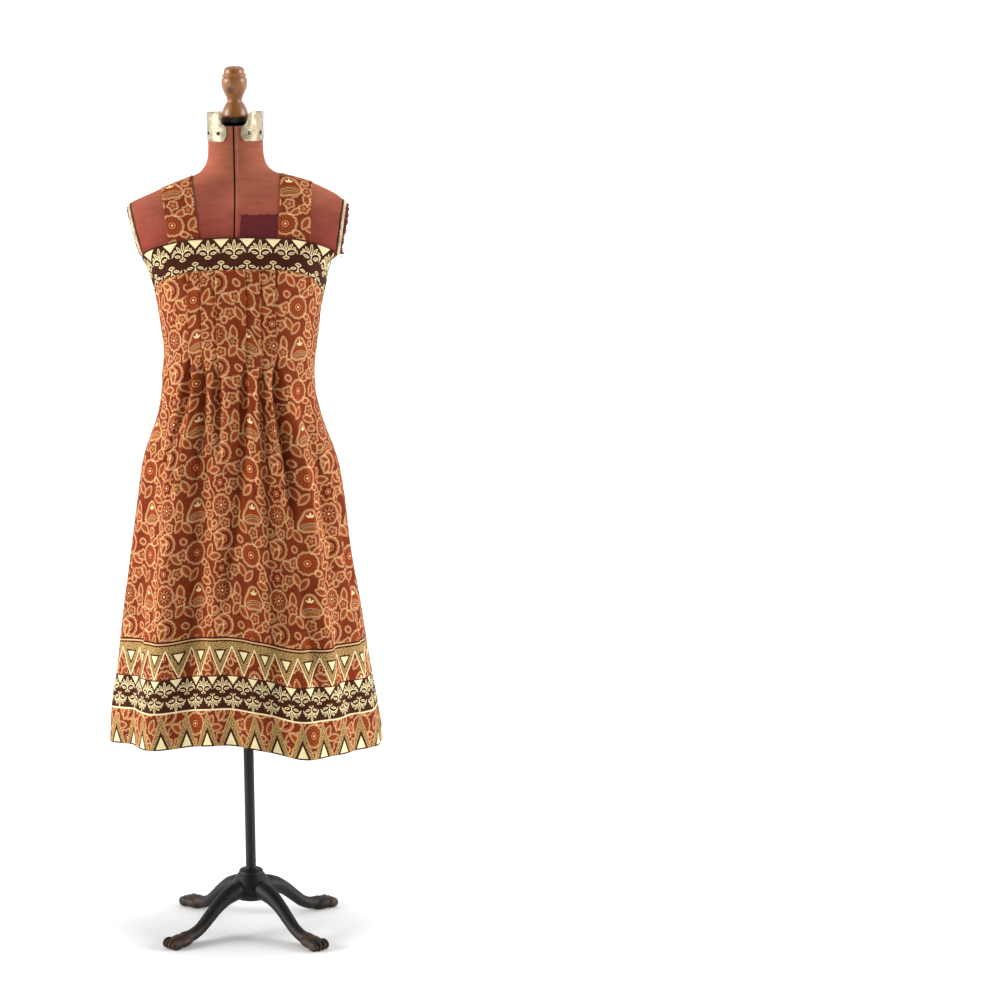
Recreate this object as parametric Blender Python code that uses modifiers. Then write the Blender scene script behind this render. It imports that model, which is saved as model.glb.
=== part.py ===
"""Sleeveless printed shift dress on a limbless dress form with a cast iron stand.

Units are metres, +Z is up, the dress faces -Y and +X is the wearer's left.
The origin is on the floor under the middle of the whole piece.
"""

import math
from bisect import bisect_right
from collections import namedtuple
from functools import lru_cache

import bmesh
import bpy
from mathutils import Matrix, Vector

# Driving dimensions
SEAM_GAP = 0.0003
BAND_SEAM_GAP = 0.0007
FACET_GAP = 0.0004

CLOTH_WALL = 0.0014
BAND_HEIGHT = 0.055
STRAP_WIDTH = 0.055
STRAP_WALL = 0.0011
STRAP_CLEARANCE = 0.0011
STRAP_TUCK_IN = 0.010
TUCK_GROOVE_DEPTH = 0.0022
TUCK_GROOVE_HALF_WIDTH = 0.0026
OPEN_FOLD_DEPTH = 0.0060
OPEN_FOLD_HALF_WIDTH = 0.0110
OPEN_FOLD_STEEPNESS = 1.6
# The part of a released fold's drop over which it opens to its full width
TUCK_OPENING = 0.18
# Heights between which the tucks are straight, and over which their lines swing into the skirt
TUCK_LINE_TOP = 1.24
TUCK_LINE_BOTTOM = 1.06
TUCK_SWING_START = 1.13
TUCK_SWING_RUN = 0.10
TUCK_SHOULDER = 0.02
# The part of the way from the side seam over which the skirt's folds rise
SEAM_CALM = 0.12
# Where a strap is at its highest, as a part of its length
STRAP_PEAK = 0.48

FORM_BOTTOM = 0.750
NECK_TOP = 1.486
NECK_RADIUS = 0.049
FORM_GAP_WIDTH = 0.0034
FORM_GAP_DEPTH = 0.005
ARM_BOARD_THICKNESS = 0.005
ARM_PLANE_HEIGHT = 1.291
ARM_SLAB_HEIGHT = 0.150
ARM_SLAB_DEPTH = 0.300
ARM_CUT_THICKNESS = 0.100
FORM_GAP_TAPER = 0.8
SHOULDER_LOW = 1.34
SHOULDER_HIGH = 1.42

PLATE_THICKNESS = 0.0012
PLATE_BOTTOM = 1.459
PLATE_SHOULDER = 1.4925
PLATE_TOP = 1.5085
PLATE_CORNER = 0.009
PLATE_SHOULDER_FALL = 0.008
PLATE_NEAR = math.radians(15.0)
PLATE_TAB = math.radians(30.0)
PLATE_FAR = math.radians(86.0)
RIVET_RADIUS = 0.0027
RIVET_HEIGHT = 0.0014
RIVET_PLACE = 1.4735
RIVET_ANGLES = (math.radians(34.0), math.radians(66.0))
BOSS_RADIUS = 0.0245
BOSS_CHAMFER = 0.006
BOSS_CHAMFER_PART = 0.35
FINIAL_BOTTOM = 1.4998

POLE_RADIUS = 0.0095
HUB_TOP = 0.112
HUB_BOTTOM = 0.054
SOCKET_BOTTOM = 0.715
SOCKET_RADIUS = 0.016
SOCKET_COLLAR_RADIUS = 0.017
SOCKET_FLANGE_RADIUS = 0.045
SOCKET_FLANGE = 0.005
SOCKET_FLANGE_SLOPE = 0.003
TOE_REACH = 0.203
LEG_TURN = math.radians(43.0)
LEG_COUNT = 4
LEG_SLOPE_SPAN = 0.002
TOE_COUNT = 4
TOE_FALL_BACK = 0.1
FLOOR_CUT_SIZE = 0.6

# How finely the shapes are divided
QUARTER_STEPS = 90
FRONT_ROWS = [
    0.0, 0.05, 0.11, 0.155, 0.172, 0.186, 0.205, 0.228, 0.256, 0.288, 0.322, 0.360,
    0.405, 0.455, 0.510, 0.570, 0.635, 0.700, 0.765, 0.830, 0.890, 0.945, 1.0,
]
BACK_ROWS = [
    0.0, 0.07, 0.14, 0.20, 0.26, 0.32, 0.38, 0.44, 0.50, 0.57, 0.64, 0.71, 0.78, 0.85,
    0.925, 1.0,
]
TUCK_COLUMN_STEPS = (-0.048, -0.0142, 0.0, 0.0142, 0.048)
CENTRE_COLUMN = -0.06
FRONT_SIDE_COLUMNS = 8
BACK_COLUMNS = 22
BAND_ROWS = 4
OVER_STEPS = 60
STRAP_ROWS = 34
STRAP_COLUMNS = 6
TORSO_COLUMNS = [0.10, 0.21, 0.32, 0.43, 0.54, 0.65, 0.76, 0.88]
PLATE_COLUMNS = 12
PLATE_ROWS = 4
RIVET_STEPS = 8
BOSS_STEPS = 28
FINIAL_STEPS = 18
POLE_STEPS = 24
HUB_STEPS = 20
LEG_SIDES = 10
LEG_RINGS = 13
PAD_SEGMENTS = (12, 6)
TOE_SEGMENTS = (8, 5)
# Rounds of narrowing down when a height is looked for
HALVINGS = 40
SETTLING_ROUNDS = 6

# Where the middle of the whole piece lies from the pole, so that the origin is under the middle
CENTRE_OFFSET = Vector((0.0023, 0.0049, 0.0))

Section = namedtuple("Section", "height left right front back squareness")
Fold = namedtuple("Fold", "fraction waist hip knee hem width_waist width_hem")
Tuck = namedtuple("Tuck", "across release fades_at strength")
Edge = namedtuple("Edge", "fraction height")
ArmEnd = namedtuple("ArmEnd", "word side reach lean")
Strap = namedtuple("Strap", "name front shoulder back")
LegPoint = namedtuple("LegPoint", "reach height thickness")
Turned = namedtuple("Turned", "radius height")
Finish = namedtuple("Finish", "red green blue roughness metallic")

# The covered torso, from its flat underside up to the neck
FORM_SECTIONS = [
    Section(0.750, 0.166, 0.166, 0.106, 0.116, 2.2),
    Section(0.800, 0.170, 0.170, 0.110, 0.122, 2.2),
    Section(0.845, 0.171, 0.171, 0.112, 0.124, 2.2),
    Section(0.880, 0.164, 0.164, 0.110, 0.119, 2.2),
    Section(0.915, 0.151, 0.151, 0.106, 0.110, 2.2),
    Section(0.950, 0.138, 0.138, 0.101, 0.100, 2.2),
    Section(0.985, 0.127, 0.127, 0.096, 0.091, 2.2),
    Section(1.020, 0.121, 0.121, 0.092, 0.085, 2.2),
    Section(1.055, 0.121, 0.121, 0.093, 0.085, 2.2),
    Section(1.095, 0.127, 0.127, 0.101, 0.090, 2.2),
    Section(1.135, 0.134, 0.134, 0.114, 0.097, 2.2),
    Section(1.175, 0.143, 0.143, 0.124, 0.103, 2.2),
    Section(1.205, 0.150, 0.150, 0.124, 0.106, 2.3),
    Section(1.227, 0.155, 0.156, 0.119, 0.107, 2.4),
    Section(1.241, 0.160, 0.162, 0.114, 0.108, 2.5),
    Section(1.248, 0.164, 0.172, 0.111, 0.108, 2.5),
    Section(1.256, 0.171, 0.187, 0.108, 0.108, 2.5),
    Section(1.272, 0.189, 0.200, 0.102, 0.107, 2.5),
    Section(1.290, 0.201, 0.204, 0.094, 0.104, 2.5),
    Section(1.309, 0.205, 0.205, 0.084, 0.098, 2.5),
    Section(1.326, 0.204, 0.204, 0.074, 0.089, 2.5),
    Section(1.338, 0.200, 0.200, 0.066, 0.081, 2.4),
    Section(1.346, 0.195, 0.195, 0.060, 0.074, 2.4),
    Section(1.353, 0.186, 0.187, 0.056, 0.069, 2.3),
    Section(1.360, 0.170, 0.178, 0.052, 0.063, 2.2),
    Section(1.367, 0.154, 0.166, 0.050, 0.058, 2.2),
    Section(1.374, 0.138, 0.152, 0.048, 0.055, 2.1),
    Section(1.381, 0.121, 0.137, 0.047, 0.052, 2.1),
    Section(1.388, 0.103, 0.118, 0.047, 0.050, 2.0),
    Section(1.395, 0.083, 0.092, 0.048, 0.049, 2.0),
    Section(1.402, 0.067, 0.069, 0.049, 0.049, 2.0),
    Section(1.410, 0.059, 0.059, 0.050, 0.049, 2.0),
    Section(1.420, 0.053, 0.053, 0.0495, 0.049, 2.0),
    Section(1.435, 0.0498, 0.0498, 0.0492, 0.049, 2.0),
    Section(1.456, NECK_RADIUS, NECK_RADIUS, NECK_RADIUS, NECK_RADIUS, 2.0),
    Section(NECK_TOP, NECK_RADIUS, NECK_RADIUS, NECK_RADIUS, NECK_RADIUS, 2.0),
]

# The outside of the dress, from just below the hem up to above the band
DRESS_SECTIONS = [
    Section(0.340, 0.2530, 0.2480, 0.202, 0.204, 2.1),
    Section(0.376, 0.2500, 0.2460, 0.198, 0.199, 2.1),
    Section(0.433, 0.2466, 0.2376, 0.192, 0.192, 2.1),
    Section(0.527, 0.2311, 0.2224, 0.180, 0.180, 2.1),
    Section(0.621, 0.2175, 0.2090, 0.168, 0.169, 2.1),
    Section(0.714, 0.2040, 0.1939, 0.155, 0.158, 2.1),
    Section(0.807, 0.1923, 0.1844, 0.141, 0.147, 2.1),
    Section(0.844, 0.1877, 0.1795, 0.136, 0.142, 2.1),
    Section(0.872, 0.1830, 0.1745, 0.132, 0.137, 2.1),
    Section(0.899, 0.1761, 0.1669, 0.128, 0.131, 2.1),
    Section(0.936, 0.1625, 0.1529, 0.122, 0.122, 2.1),
    Section(0.973, 0.1498, 0.1417, 0.117, 0.113, 2.1),
    Section(1.009, 0.1435, 0.1345, 0.113, 0.105, 2.1),
    Section(1.046, 0.1407, 0.1331, 0.112, 0.101, 2.1),
    Section(1.082, 0.1372, 0.1371, 0.115, 0.100, 2.1),
    Section(1.118, 0.1407, 0.1423, 0.121, 0.103, 2.1),
    Section(1.155, 0.1451, 0.1465, 0.128, 0.107, 2.2),
    Section(1.191, 0.1510, 0.1545, 0.1315, 0.111, 2.2),
    Section(1.227, 0.1602, 0.1620, 0.1240, 0.1125, 2.4),
    Section(1.241, 0.1655, 0.1680, 0.1195, 0.1135, 2.5),
    Section(1.248, 0.1700, 0.1780, 0.1165, 0.1137, 2.5),
    Section(1.256, 0.1770, 0.1930, 0.1137, 0.1138, 2.5),
    Section(1.272, 0.1950, 0.2060, 0.1078, 0.1130, 2.5),
    Section(1.300, 0.2090, 0.2110, 0.0945, 0.1060, 2.5),
]

TABLES = {"form": FORM_SECTIONS, "dress": DRESS_SECTIONS}

# Six tucks, each by its distance from the centre front, its release and where its fold dies away
TUCKS = [
    Tuck(-0.0845, 1.088, 0.720, 1.30),
    Tuck(-0.0600, 1.082, 0.860, 1.00),
    Tuck(-0.0335, 1.080, 0.950, 0.80),
    Tuck(0.0195, 1.078, 0.780, 1.20),
    Tuck(0.0450, 1.080, 0.900, 0.80),
    Tuck(0.0720, 1.082, 0.800, 1.30),
]
# Where the line of each tuck runs on down the skirt, as a part of the way to the side seam
TUCK_FRACTIONS = [-0.465, -0.315, -0.170, 0.070, 0.225, 0.370]

# The broad folds of the skirt: how far each stands out at four heights, in metres
FRONT_FOLDS = [
    Fold(-0.88, 0.000, 0.000, 0.003, 0.006, 0.030, 0.030),
    Fold(-0.68, 0.000, 0.000, -0.004, -0.010, 0.030, 0.034),
    Fold(-0.46, 0.000, 0.003, 0.009, 0.017, 0.030, 0.042),
    Fold(-0.06, 0.000, -0.004, -0.009, -0.020, 0.024, 0.056),
    Fold(0.29, 0.000, 0.004, 0.012, 0.022, 0.026, 0.044),
    Fold(0.56, 0.000, 0.000, -0.004, -0.010, 0.026, 0.036),
    Fold(0.74, 0.000, -0.004, 0.001, 0.006, 0.012, 0.032),
]
BACK_FOLDS = [
    Fold(-0.72, 0.000, 0.000, -0.004, -0.009, 0.030, 0.036),
    Fold(-0.42, 0.000, 0.002, 0.008, 0.015, 0.030, 0.044),
    Fold(-0.02, 0.000, -0.003, -0.008, -0.015, 0.030, 0.052),
    Fold(0.38, 0.000, 0.002, 0.008, 0.016, 0.030, 0.044),
    Fold(0.70, 0.000, 0.000, -0.005, -0.010, 0.030, 0.036),
]
FOLD_HEIGHTS = (0.360, 0.600, 0.850, 1.075)

FRONT_HEM = [
    Edge(-1.00, 0.361), Edge(-0.75, 0.374), Edge(-0.46, 0.382), Edge(-0.10, 0.394),
    Edge(0.08, 0.387), Edge(0.29, 0.371), Edge(0.60, 0.366), Edge(1.00, 0.360),
]
BACK_HEM = [
    Edge(-1.00, 0.361), Edge(-0.42, 0.352), Edge(0.00, 0.359), Edge(0.38, 0.351),
    Edge(1.00, 0.360),
]
FRONT_BAND_TOP = [
    Edge(-1.00, 1.2365), Edge(-0.90, 1.2480), Edge(-0.76, 1.2650), Edge(-0.60, 1.2810),
    Edge(-0.42, 1.2915), Edge(0.00, 1.2945), Edge(0.42, 1.2915), Edge(0.60, 1.2810),
    Edge(0.76, 1.2650), Edge(0.90, 1.2480), Edge(1.00, 1.2365),
]
BACK_BAND_TOP = [
    Edge(-1.00, 1.2365), Edge(-0.60, 1.2520), Edge(0.00, 1.2600), Edge(0.60, 1.2520),
    Edge(1.00, 1.2365),
]

# Each arm end: its slanted plane's distance from the centre and its lean out as it rises
ARM_ENDS = [ArmEnd("right", -1, 0.1802, 0.2835), ArmEnd("left", 1, 0.1890, 0.145)]

# The middle line of each strap, at the front band, on the shoulder and at the back band
STRAPS = [
    Strap("strap_right", -0.0895, -0.1070, -0.0920),
    Strap("strap_left", 0.1060, 0.1085, 0.1000),
]

# One stand leg, from the hub out to the paw
LEG_POINTS = [
    LegPoint(0.000, 0.074, 0.0180), LegPoint(0.030, 0.076, 0.0175),
    LegPoint(0.056, 0.070, 0.0155), LegPoint(0.080, 0.057, 0.0130),
    LegPoint(0.104, 0.038, 0.0118), LegPoint(0.126, 0.0215, 0.0112),
    LegPoint(0.146, 0.0140, 0.0115), LegPoint(0.164, 0.0120, 0.0125),
]
PAW_PAD = Vector((0.027, 0.0175, 0.0125))
PAW_PAD_PLACE = Vector((0.170, 0.0, 0.0095))
TOE = Vector((0.0125, 0.0056, 0.0100))
TOE_HEIGHT = 0.0080
TOE_SPREAD = 0.0090

FINIAL_PROFILE = [
    Turned(0.0000, 0.0902), Turned(0.0090, 0.0898), Turned(0.0140, 0.0880),
    Turned(0.0178, 0.0835), Turned(0.0190, 0.0768), Turned(0.0214, 0.0748),
    Turned(0.0216, 0.0730), Turned(0.0203, 0.0712), Turned(0.0219, 0.0680),
    Turned(0.0228, 0.0630), Turned(0.0222, 0.0545), Turned(0.0190, 0.0455),
    Turned(0.0150, 0.0370), Turned(0.0130, 0.0300), Turned(0.0133, 0.0272),
    Turned(0.0150, 0.0255), Turned(0.0180, 0.0205), Turned(0.0210, 0.0140),
    Turned(0.0228, 0.0080), Turned(0.0235, 0.0030), Turned(0.0228, 0.0000),
    Turned(0.0000, 0.0000),
]
RIVET_PROFILE = [
    Turned(0.0, RIVET_HEIGHT), Turned(0.5 * RIVET_RADIUS, 0.86 * RIVET_HEIGHT),
    Turned(0.87 * RIVET_RADIUS, 0.5 * RIVET_HEIGHT), Turned(RIVET_RADIUS, 0.0), Turned(0.0, 0.0),
]
HUB_PROFILE = [
    Turned(0.0000, 0.0580), Turned(0.0190, 0.0580), Turned(0.0218, 0.0560),
    Turned(0.0250, 0.0500), Turned(0.0315, 0.0390), Turned(0.0370, 0.0260),
    Turned(0.0370, 0.0130), Turned(0.0300, 0.0030), Turned(0.0180, 0.0000),
    Turned(0.0000, 0.0000),
]

# Colour (linear RGB), roughness and metallic value of each finish
FINISHES = {
    "printed_cotton": Finish(0.36, 0.075, 0.022, 0.85, 0.0),
    "border_print": Finish(0.10, 0.030, 0.016, 0.85, 0.0),
    "form_jersey": Finish(0.30, 0.090, 0.065, 0.90, 0.0),
    "arm_board": Finish(0.60, 0.46, 0.29, 0.85, 0.0),
    "neck_plate": Finish(0.62, 0.58, 0.46, 0.38, 1.0),
    "blackened_iron": Finish(0.028, 0.030, 0.028, 0.55, 0.6),
    "finial_wood": Finish(0.45, 0.21, 0.065, 0.45, 0.0),
    "cast_iron": Finish(0.045, 0.046, 0.042, 0.62, 0.5),
}


def clear_scene():
    """Remove every object of the open scene."""
    for old in list(bpy.data.objects):
        bpy.data.objects.remove(old, do_unlink=True)


def new_collection(name):
    """Link a new collection to the scene."""
    made = bpy.data.collections.new(name)
    bpy.context.scene.collection.children.link(made)
    return made


def material(name):
    """The Principled material of one finish, made once."""
    known = bpy.data.materials.get(name)
    if known:
        return known
    finish = FINISHES[name]
    made = bpy.data.materials.new(name)
    made.use_nodes = True
    shader = made.node_tree.nodes["Principled BSDF"]
    shader.inputs["Base Color"].default_value = (finish.red, finish.green, finish.blue, 1.0)
    shader.inputs["Roughness"].default_value = finish.roughness
    shader.inputs["Metallic"].default_value = finish.metallic
    return made


def add_object(name, mesh, collection, finish):
    """Put a mesh in the scene under its own name, with its finish."""
    made = bpy.data.objects.new(name, mesh)
    collection.objects.link(made)
    if finish:
        mesh.materials.clear()
        mesh.materials.append(material(finish))
    return made


def as_mesh(name, built):
    """Turn a bmesh into a mesh of the given name."""
    mesh = bpy.data.meshes.new(name)
    built.to_mesh(mesh)
    built.free()
    return mesh


def shade_round(mesh, angle=math.radians(40.0)):
    """Shade a mesh smooth but for its sharp edges."""
    mesh.shade_smooth()
    mesh.set_sharp_from_angle(angle=angle)


def solidify(target, thickness, offset):
    """Give an open surface its wall."""
    wall = target.modifiers.new("wall", "SOLIDIFY")
    wall.thickness = thickness
    wall.offset = offset
    wall.use_even_offset = True
    wall.use_rim = True


def smooth_value(places, values, place):
    """Value at a place on a smooth curve through points, which never overshoots them."""
    if place <= places[0]:
        return values[0]
    if place >= places[-1]:
        return values[-1]
    span = bisect_right(places, place) - 1
    steps = [b - a for a, b in zip(places, places[1:])]
    slopes = [(b - a) / step for a, b, step in zip(values, values[1:], steps)]

    def tangent(index):
        if index == 0:
            return slopes[0]
        if index == len(values) - 1:
            return slopes[-1]
        before, after = slopes[index - 1], slopes[index]
        if before * after <= 0.0:
            return 0.0
        return 2.0 * before * after / (before + after)

    step = steps[span]
    part = (place - places[span]) / step
    rise = part * part * (3.0 - 2.0 * part)
    start = part * (1.0 - part) ** 2
    end = part * part * (part - 1.0)
    level = values[span] + (values[span + 1] - values[span]) * rise
    return level + step * (start * tangent(span) + end * tangent(span + 1))


def read_table(rows, column, place):
    """One named column of a table at a place along its first column."""
    places = [row[0] for row in rows]
    values = [getattr(row, column) for row in rows]
    return smooth_value(places, values, place)


@lru_cache(maxsize=None)
def section_at(table, height):
    """The section of the form or of the dress at any height."""
    rows = TABLES[table]
    columns = [read_table(rows, column, height) for column in Section._fields[1:]]
    return Section(height, *columns)


@lru_cache(maxsize=None)
def quarter_curve(table, height, side, face):
    """A quarter of a section, from the centre line to the side, with its running length."""
    level = section_at(table, height)
    width = level.right if side > 0 else level.left
    depth = level.front if face < 0 else level.back
    power = 2.0 / level.squareness
    points = []
    for step in range(QUARTER_STEPS + 1):
        turn = 0.5 * math.pi * step / QUARTER_STEPS
        across = width * math.sin(turn) ** power
        ahead = depth * max(math.cos(turn), 0.0) ** power
        points.append(Vector((side * across, face * ahead)))
    lengths = [0.0]
    for first, second in zip(points, points[1:]):
        lengths.append(lengths[-1] + (second - first).length)
    return points, lengths


def on_section(table, height, fraction, face):
    """Point and outward normal at a part of the way from the centre line to the side."""
    side = 1.0 if fraction >= 0.0 else -1.0
    points, lengths = quarter_curve(table, round(height, 6), side, face)
    run = abs(fraction) * lengths[-1]
    index = min(max(bisect_right(lengths, run) - 1, 0), len(points) - 2)
    part = (run - lengths[index]) / (lengths[index + 1] - lengths[index])
    point = points[index].lerp(points[index + 1], part)
    low, high = max(index - 1, 0), min(index + 2, len(points) - 1)
    along = (points[high] - points[low]).normalized()
    normal = Vector((along.y, -along.x))
    if normal.dot(point) < 0.0:
        normal.negate()
    if abs(fraction) < 1.0e-6:
        normal = Vector((0.0, face))
    return point, normal, lengths[-1]


def fraction_at(table, height, across, face):
    """The part of the way to the side at a distance from the centre line, seen from the front."""
    side = 1.0 if across >= 0.0 else -1.0
    points, lengths = quarter_curve(table, round(height, 6), side, face)
    for index in range(len(points) - 1):
        near, far = abs(points[index].x), abs(points[index + 1].x)
        if near <= abs(across) <= far:
            part = (abs(across) - near) / max(far - near, 1.0e-9)
            run = lengths[index] + part * (lengths[index + 1] - lengths[index])
            return side * run / lengths[-1]
    return side


def loft(name, rows, closed=False, caps=False):
    """A surface through rows of points, and flat ends where they are asked for."""
    built = bmesh.new()
    grid = [[built.verts.new(point) for point in row] for row in rows]
    columns = len(rows[0])
    last = columns if closed else columns - 1
    for upper, lower in zip(grid, grid[1:]):
        for index in range(last):
            following = (index + 1) % columns
            built.faces.new((upper[index], upper[following], lower[following], lower[index]))
    if caps:
        built.faces.new(grid[0])
        built.faces.new(list(reversed(grid[-1])))
    bmesh.ops.recalc_face_normals(built, faces=built.faces)
    return as_mesh(name, built)


def facing(mesh, outward):
    """Turn an open surface over if its faces don't look the given way on the whole."""
    score = sum(face.normal.dot(outward(face.center)) * face.area for face in mesh.polygons)
    if score < 0.0:
        mesh.flip_normals()
    return mesh


def away_from_axis(place):
    """Direction out from the pole's axis."""
    return Vector((place.x, place.y, 0.0))


def fold_lift(folds, height, fraction, quarter_length):
    """How far the broad folds stand out at a point of the skirt."""
    lift = 0.0
    for fold in folds:
        level = smooth_value(FOLD_HEIGHTS, (fold.hem, fold.knee, fold.hip, fold.waist), height)
        low, high = FOLD_HEIGHTS[0], FOLD_HEIGHTS[-1]
        drop = min(max((high - height) / (high - low), 0.0), 1.0)
        width = fold.width_waist + (fold.width_hem - fold.width_waist) * drop
        distance = (fraction - fold.fraction) * quarter_length
        lift += level * math.exp(-((distance / width) ** 2))
    edge = min((1.0 - abs(fraction)) / SEAM_CALM, 1.0)
    return lift * edge


def tuck_lift(height, fraction, quarter_length):
    """The groove of each stitched tuck, which opens into a soft fold under its release."""
    lift = 0.0
    for tuck, below in zip(TUCKS, TUCK_FRACTIONS):
        line = tuck_line(tuck, below, height)
        distance = abs(fraction - line) * quarter_length
        if height >= tuck.release:
            if distance < TUCK_GROOVE_HALF_WIDTH:
                lift -= TUCK_GROOVE_DEPTH * (1.0 - distance / TUCK_GROOVE_HALF_WIDTH)
            continue
        if height <= tuck.fades_at:
            continue
        drop = (tuck.release - height) / (tuck.release - tuck.fades_at)
        opening = min(drop / TUCK_OPENING, 1.0)
        width = TUCK_GROOVE_HALF_WIDTH + (OPEN_FOLD_HALF_WIDTH - TUCK_GROOVE_HALF_WIDTH) * opening
        depth = TUCK_GROOVE_DEPTH + (OPEN_FOLD_DEPTH * tuck.strength - TUCK_GROOVE_DEPTH) * opening
        depth *= 1.0 - max(drop - TUCK_OPENING, 0.0) / (1.0 - TUCK_OPENING)
        lift -= depth * math.exp(-((distance / width) ** 2) * OPEN_FOLD_STEEPNESS)
    return lift


def tuck_line(tuck, below, height):
    """Where a tuck's line runs at a height, as a part of the way to the side."""
    reach = max(min(height, TUCK_LINE_TOP), TUCK_LINE_BOTTOM)
    above = fraction_at("dress", reach, tuck.across, -1)
    blend = min(max((TUCK_SWING_START - height) / TUCK_SWING_RUN, 0.0), 1.0)
    return above + (below - above) * blend


def spread(start, end, count):
    """Evenly spaced places after a start and up to an end."""
    return [start + (end - start) * step / count for step in range(1, count + 1)]


def front_panel_columns():
    """Column places across the front: each tuck with its shoulders, and plain ones to the sides."""
    places = []
    for mark in TUCK_FRACTIONS:
        places += [mark + step for step in TUCK_COLUMN_STEPS]
    places.append(CENTRE_COLUMN)
    places += spread(max(places), 1.0, FRONT_SIDE_COLUMNS)
    places += spread(min(places), -1.0, FRONT_SIDE_COLUMNS)
    return sorted(places)


def warped(place, height):
    """Move a front column so that those on a tuck stay on its line at every height."""
    lines = [tuck_line(tuck, below, height) for tuck, below in zip(TUCKS, TUCK_FRACTIONS)]
    marks = [-1.0] + list(TUCK_FRACTIONS) + [1.0]
    targets = [-1.0] + lines + [1.0]
    span = min(max(bisect_right(marks, place) - 1, 0), len(marks) - 2)
    part = (place - marks[span]) / (marks[span + 1] - marks[span])
    inner = targets[span] + part * (targets[span + 1] - targets[span])
    for mark, target in zip(TUCK_FRACTIONS, lines):
        if abs(place - mark) < TUCK_SHOULDER:
            return target + (place - mark)
    return inner


def band_bottom(top_edge, fraction):
    """Height of the seam under the band."""
    return read_table(top_edge, "height", fraction) - BAND_HEIGHT


def cloth_point(height, fraction, face, folds, tucked):
    """A point of the outside of the dress."""
    point, normal, quarter_length = on_section("dress", height, fraction, face)
    lift = fold_lift(folds, height, fraction, quarter_length)
    if tucked:
        lift += tuck_lift(height, fraction, quarter_length)
    moved = point + normal * lift
    return Vector((moved.x, moved.y, height))


def seam_fraction(height, face, side):
    """The side seam's place, drawn back by half of the gap between the two panels."""
    _, _, quarter_length = on_section("dress", height, side, face)
    return side * (1.0 - 0.5 * SEAM_GAP / quarter_length)


def build_panel(name, collection, face, top_edge, hem, folds, rows, columns, tucked):
    """A dress panel from the seam under its band down to the hem."""
    grid = []
    for drop in rows:
        row = []
        for place in columns:
            top = band_bottom(top_edge, place) - 0.5 * BAND_SEAM_GAP
            bottom = read_table(hem, "height", place)
            height = top + (bottom - top) * drop
            fraction = warped(place, height) if tucked else place
            if abs(place) == 1.0:
                fraction = seam_fraction(height, face, place)
            row.append(cloth_point(height, fraction, face, folds, tucked))
        grid.append(row)
    mesh = facing(loft(name, grid), away_from_axis)
    shade_round(mesh)
    made = add_object(name, mesh, collection, "printed_cotton")
    solidify(made, CLOTH_WALL, -1.0)
    return made


def build_band(name, collection, face, top_edge, columns, tucked):
    """A top band, from its seam up to its own edge, over the same columns as its panel."""
    grid = []
    for step in range(BAND_ROWS):
        row = []
        for place in columns:
            bottom = band_bottom(top_edge, place) + 0.5 * BAND_SEAM_GAP
            top = read_table(top_edge, "height", place)
            height = bottom + (top - bottom) * step / (BAND_ROWS - 1)
            fraction = warped(place, height) if tucked else place
            if abs(place) == 1.0:
                fraction = seam_fraction(height, face, place)
            row.append(cloth_point(height, fraction, face, [], False))
        grid.append(row)
    mesh = facing(loft(name, grid), away_from_axis)
    shade_round(mesh)
    made = add_object(name, mesh, collection, "border_print")
    solidify(made, CLOTH_WALL, -1.0)
    return made


def depth_at(height, across, face):
    """How far the form's surface lies before or behind the pole at a point of its front view."""
    level = section_at("form", round(height, 6))
    width = level.right if across > 0.0 else level.left
    depth = level.front if face < 0 else level.back
    part = min(abs(across) / width, 1.0)
    return face * depth * (1.0 - part ** level.squareness) ** (1.0 / level.squareness)


def shoulder_height(across):
    """Height of the shoulder's ridge at a distance from the centre."""
    low, high = SHOULDER_LOW, SHOULDER_HIGH
    column = "right" if across > 0.0 else "left"
    for _ in range(HALVINGS):
        middle = 0.5 * (low + high)
        if read_table(FORM_SECTIONS, column, middle) > abs(across):
            low = middle
        else:
            high = middle
    return low


def over_shoulder(across, front_end, back_end):
    """The form's outline at one distance from the centre, from the chest over to the back."""
    ridge = shoulder_height(across)
    points = []
    for face, end in ((-1, front_end), (1, back_end)):
        run = []
        for step in range(OVER_STEPS + 1):
            height = end + (ridge - end) * math.sin(0.5 * math.pi * step / OVER_STEPS)
            run.append(Vector((depth_at(height, across, face), height)))
        points += run if face < 0 else list(reversed(run))[1:]
    return points


def place_along(points, part):
    """Point and outward normal at a part of the way along an outline."""
    lengths = [0.0]
    for first, second in zip(points, points[1:]):
        lengths.append(lengths[-1] + (second - first).length)
    run = part * lengths[-1]
    index = min(max(bisect_right(lengths, run) - 1, 0), len(points) - 2)
    share = (run - lengths[index]) / max(lengths[index + 1] - lengths[index], 1.0e-9)
    point = points[index].lerp(points[index + 1], share)
    low, high = max(index - 2, 0), min(index + 3, len(points) - 1)
    along = (points[high] - points[low]).normalized()
    return point, Vector((-along.y, along.x))


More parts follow.
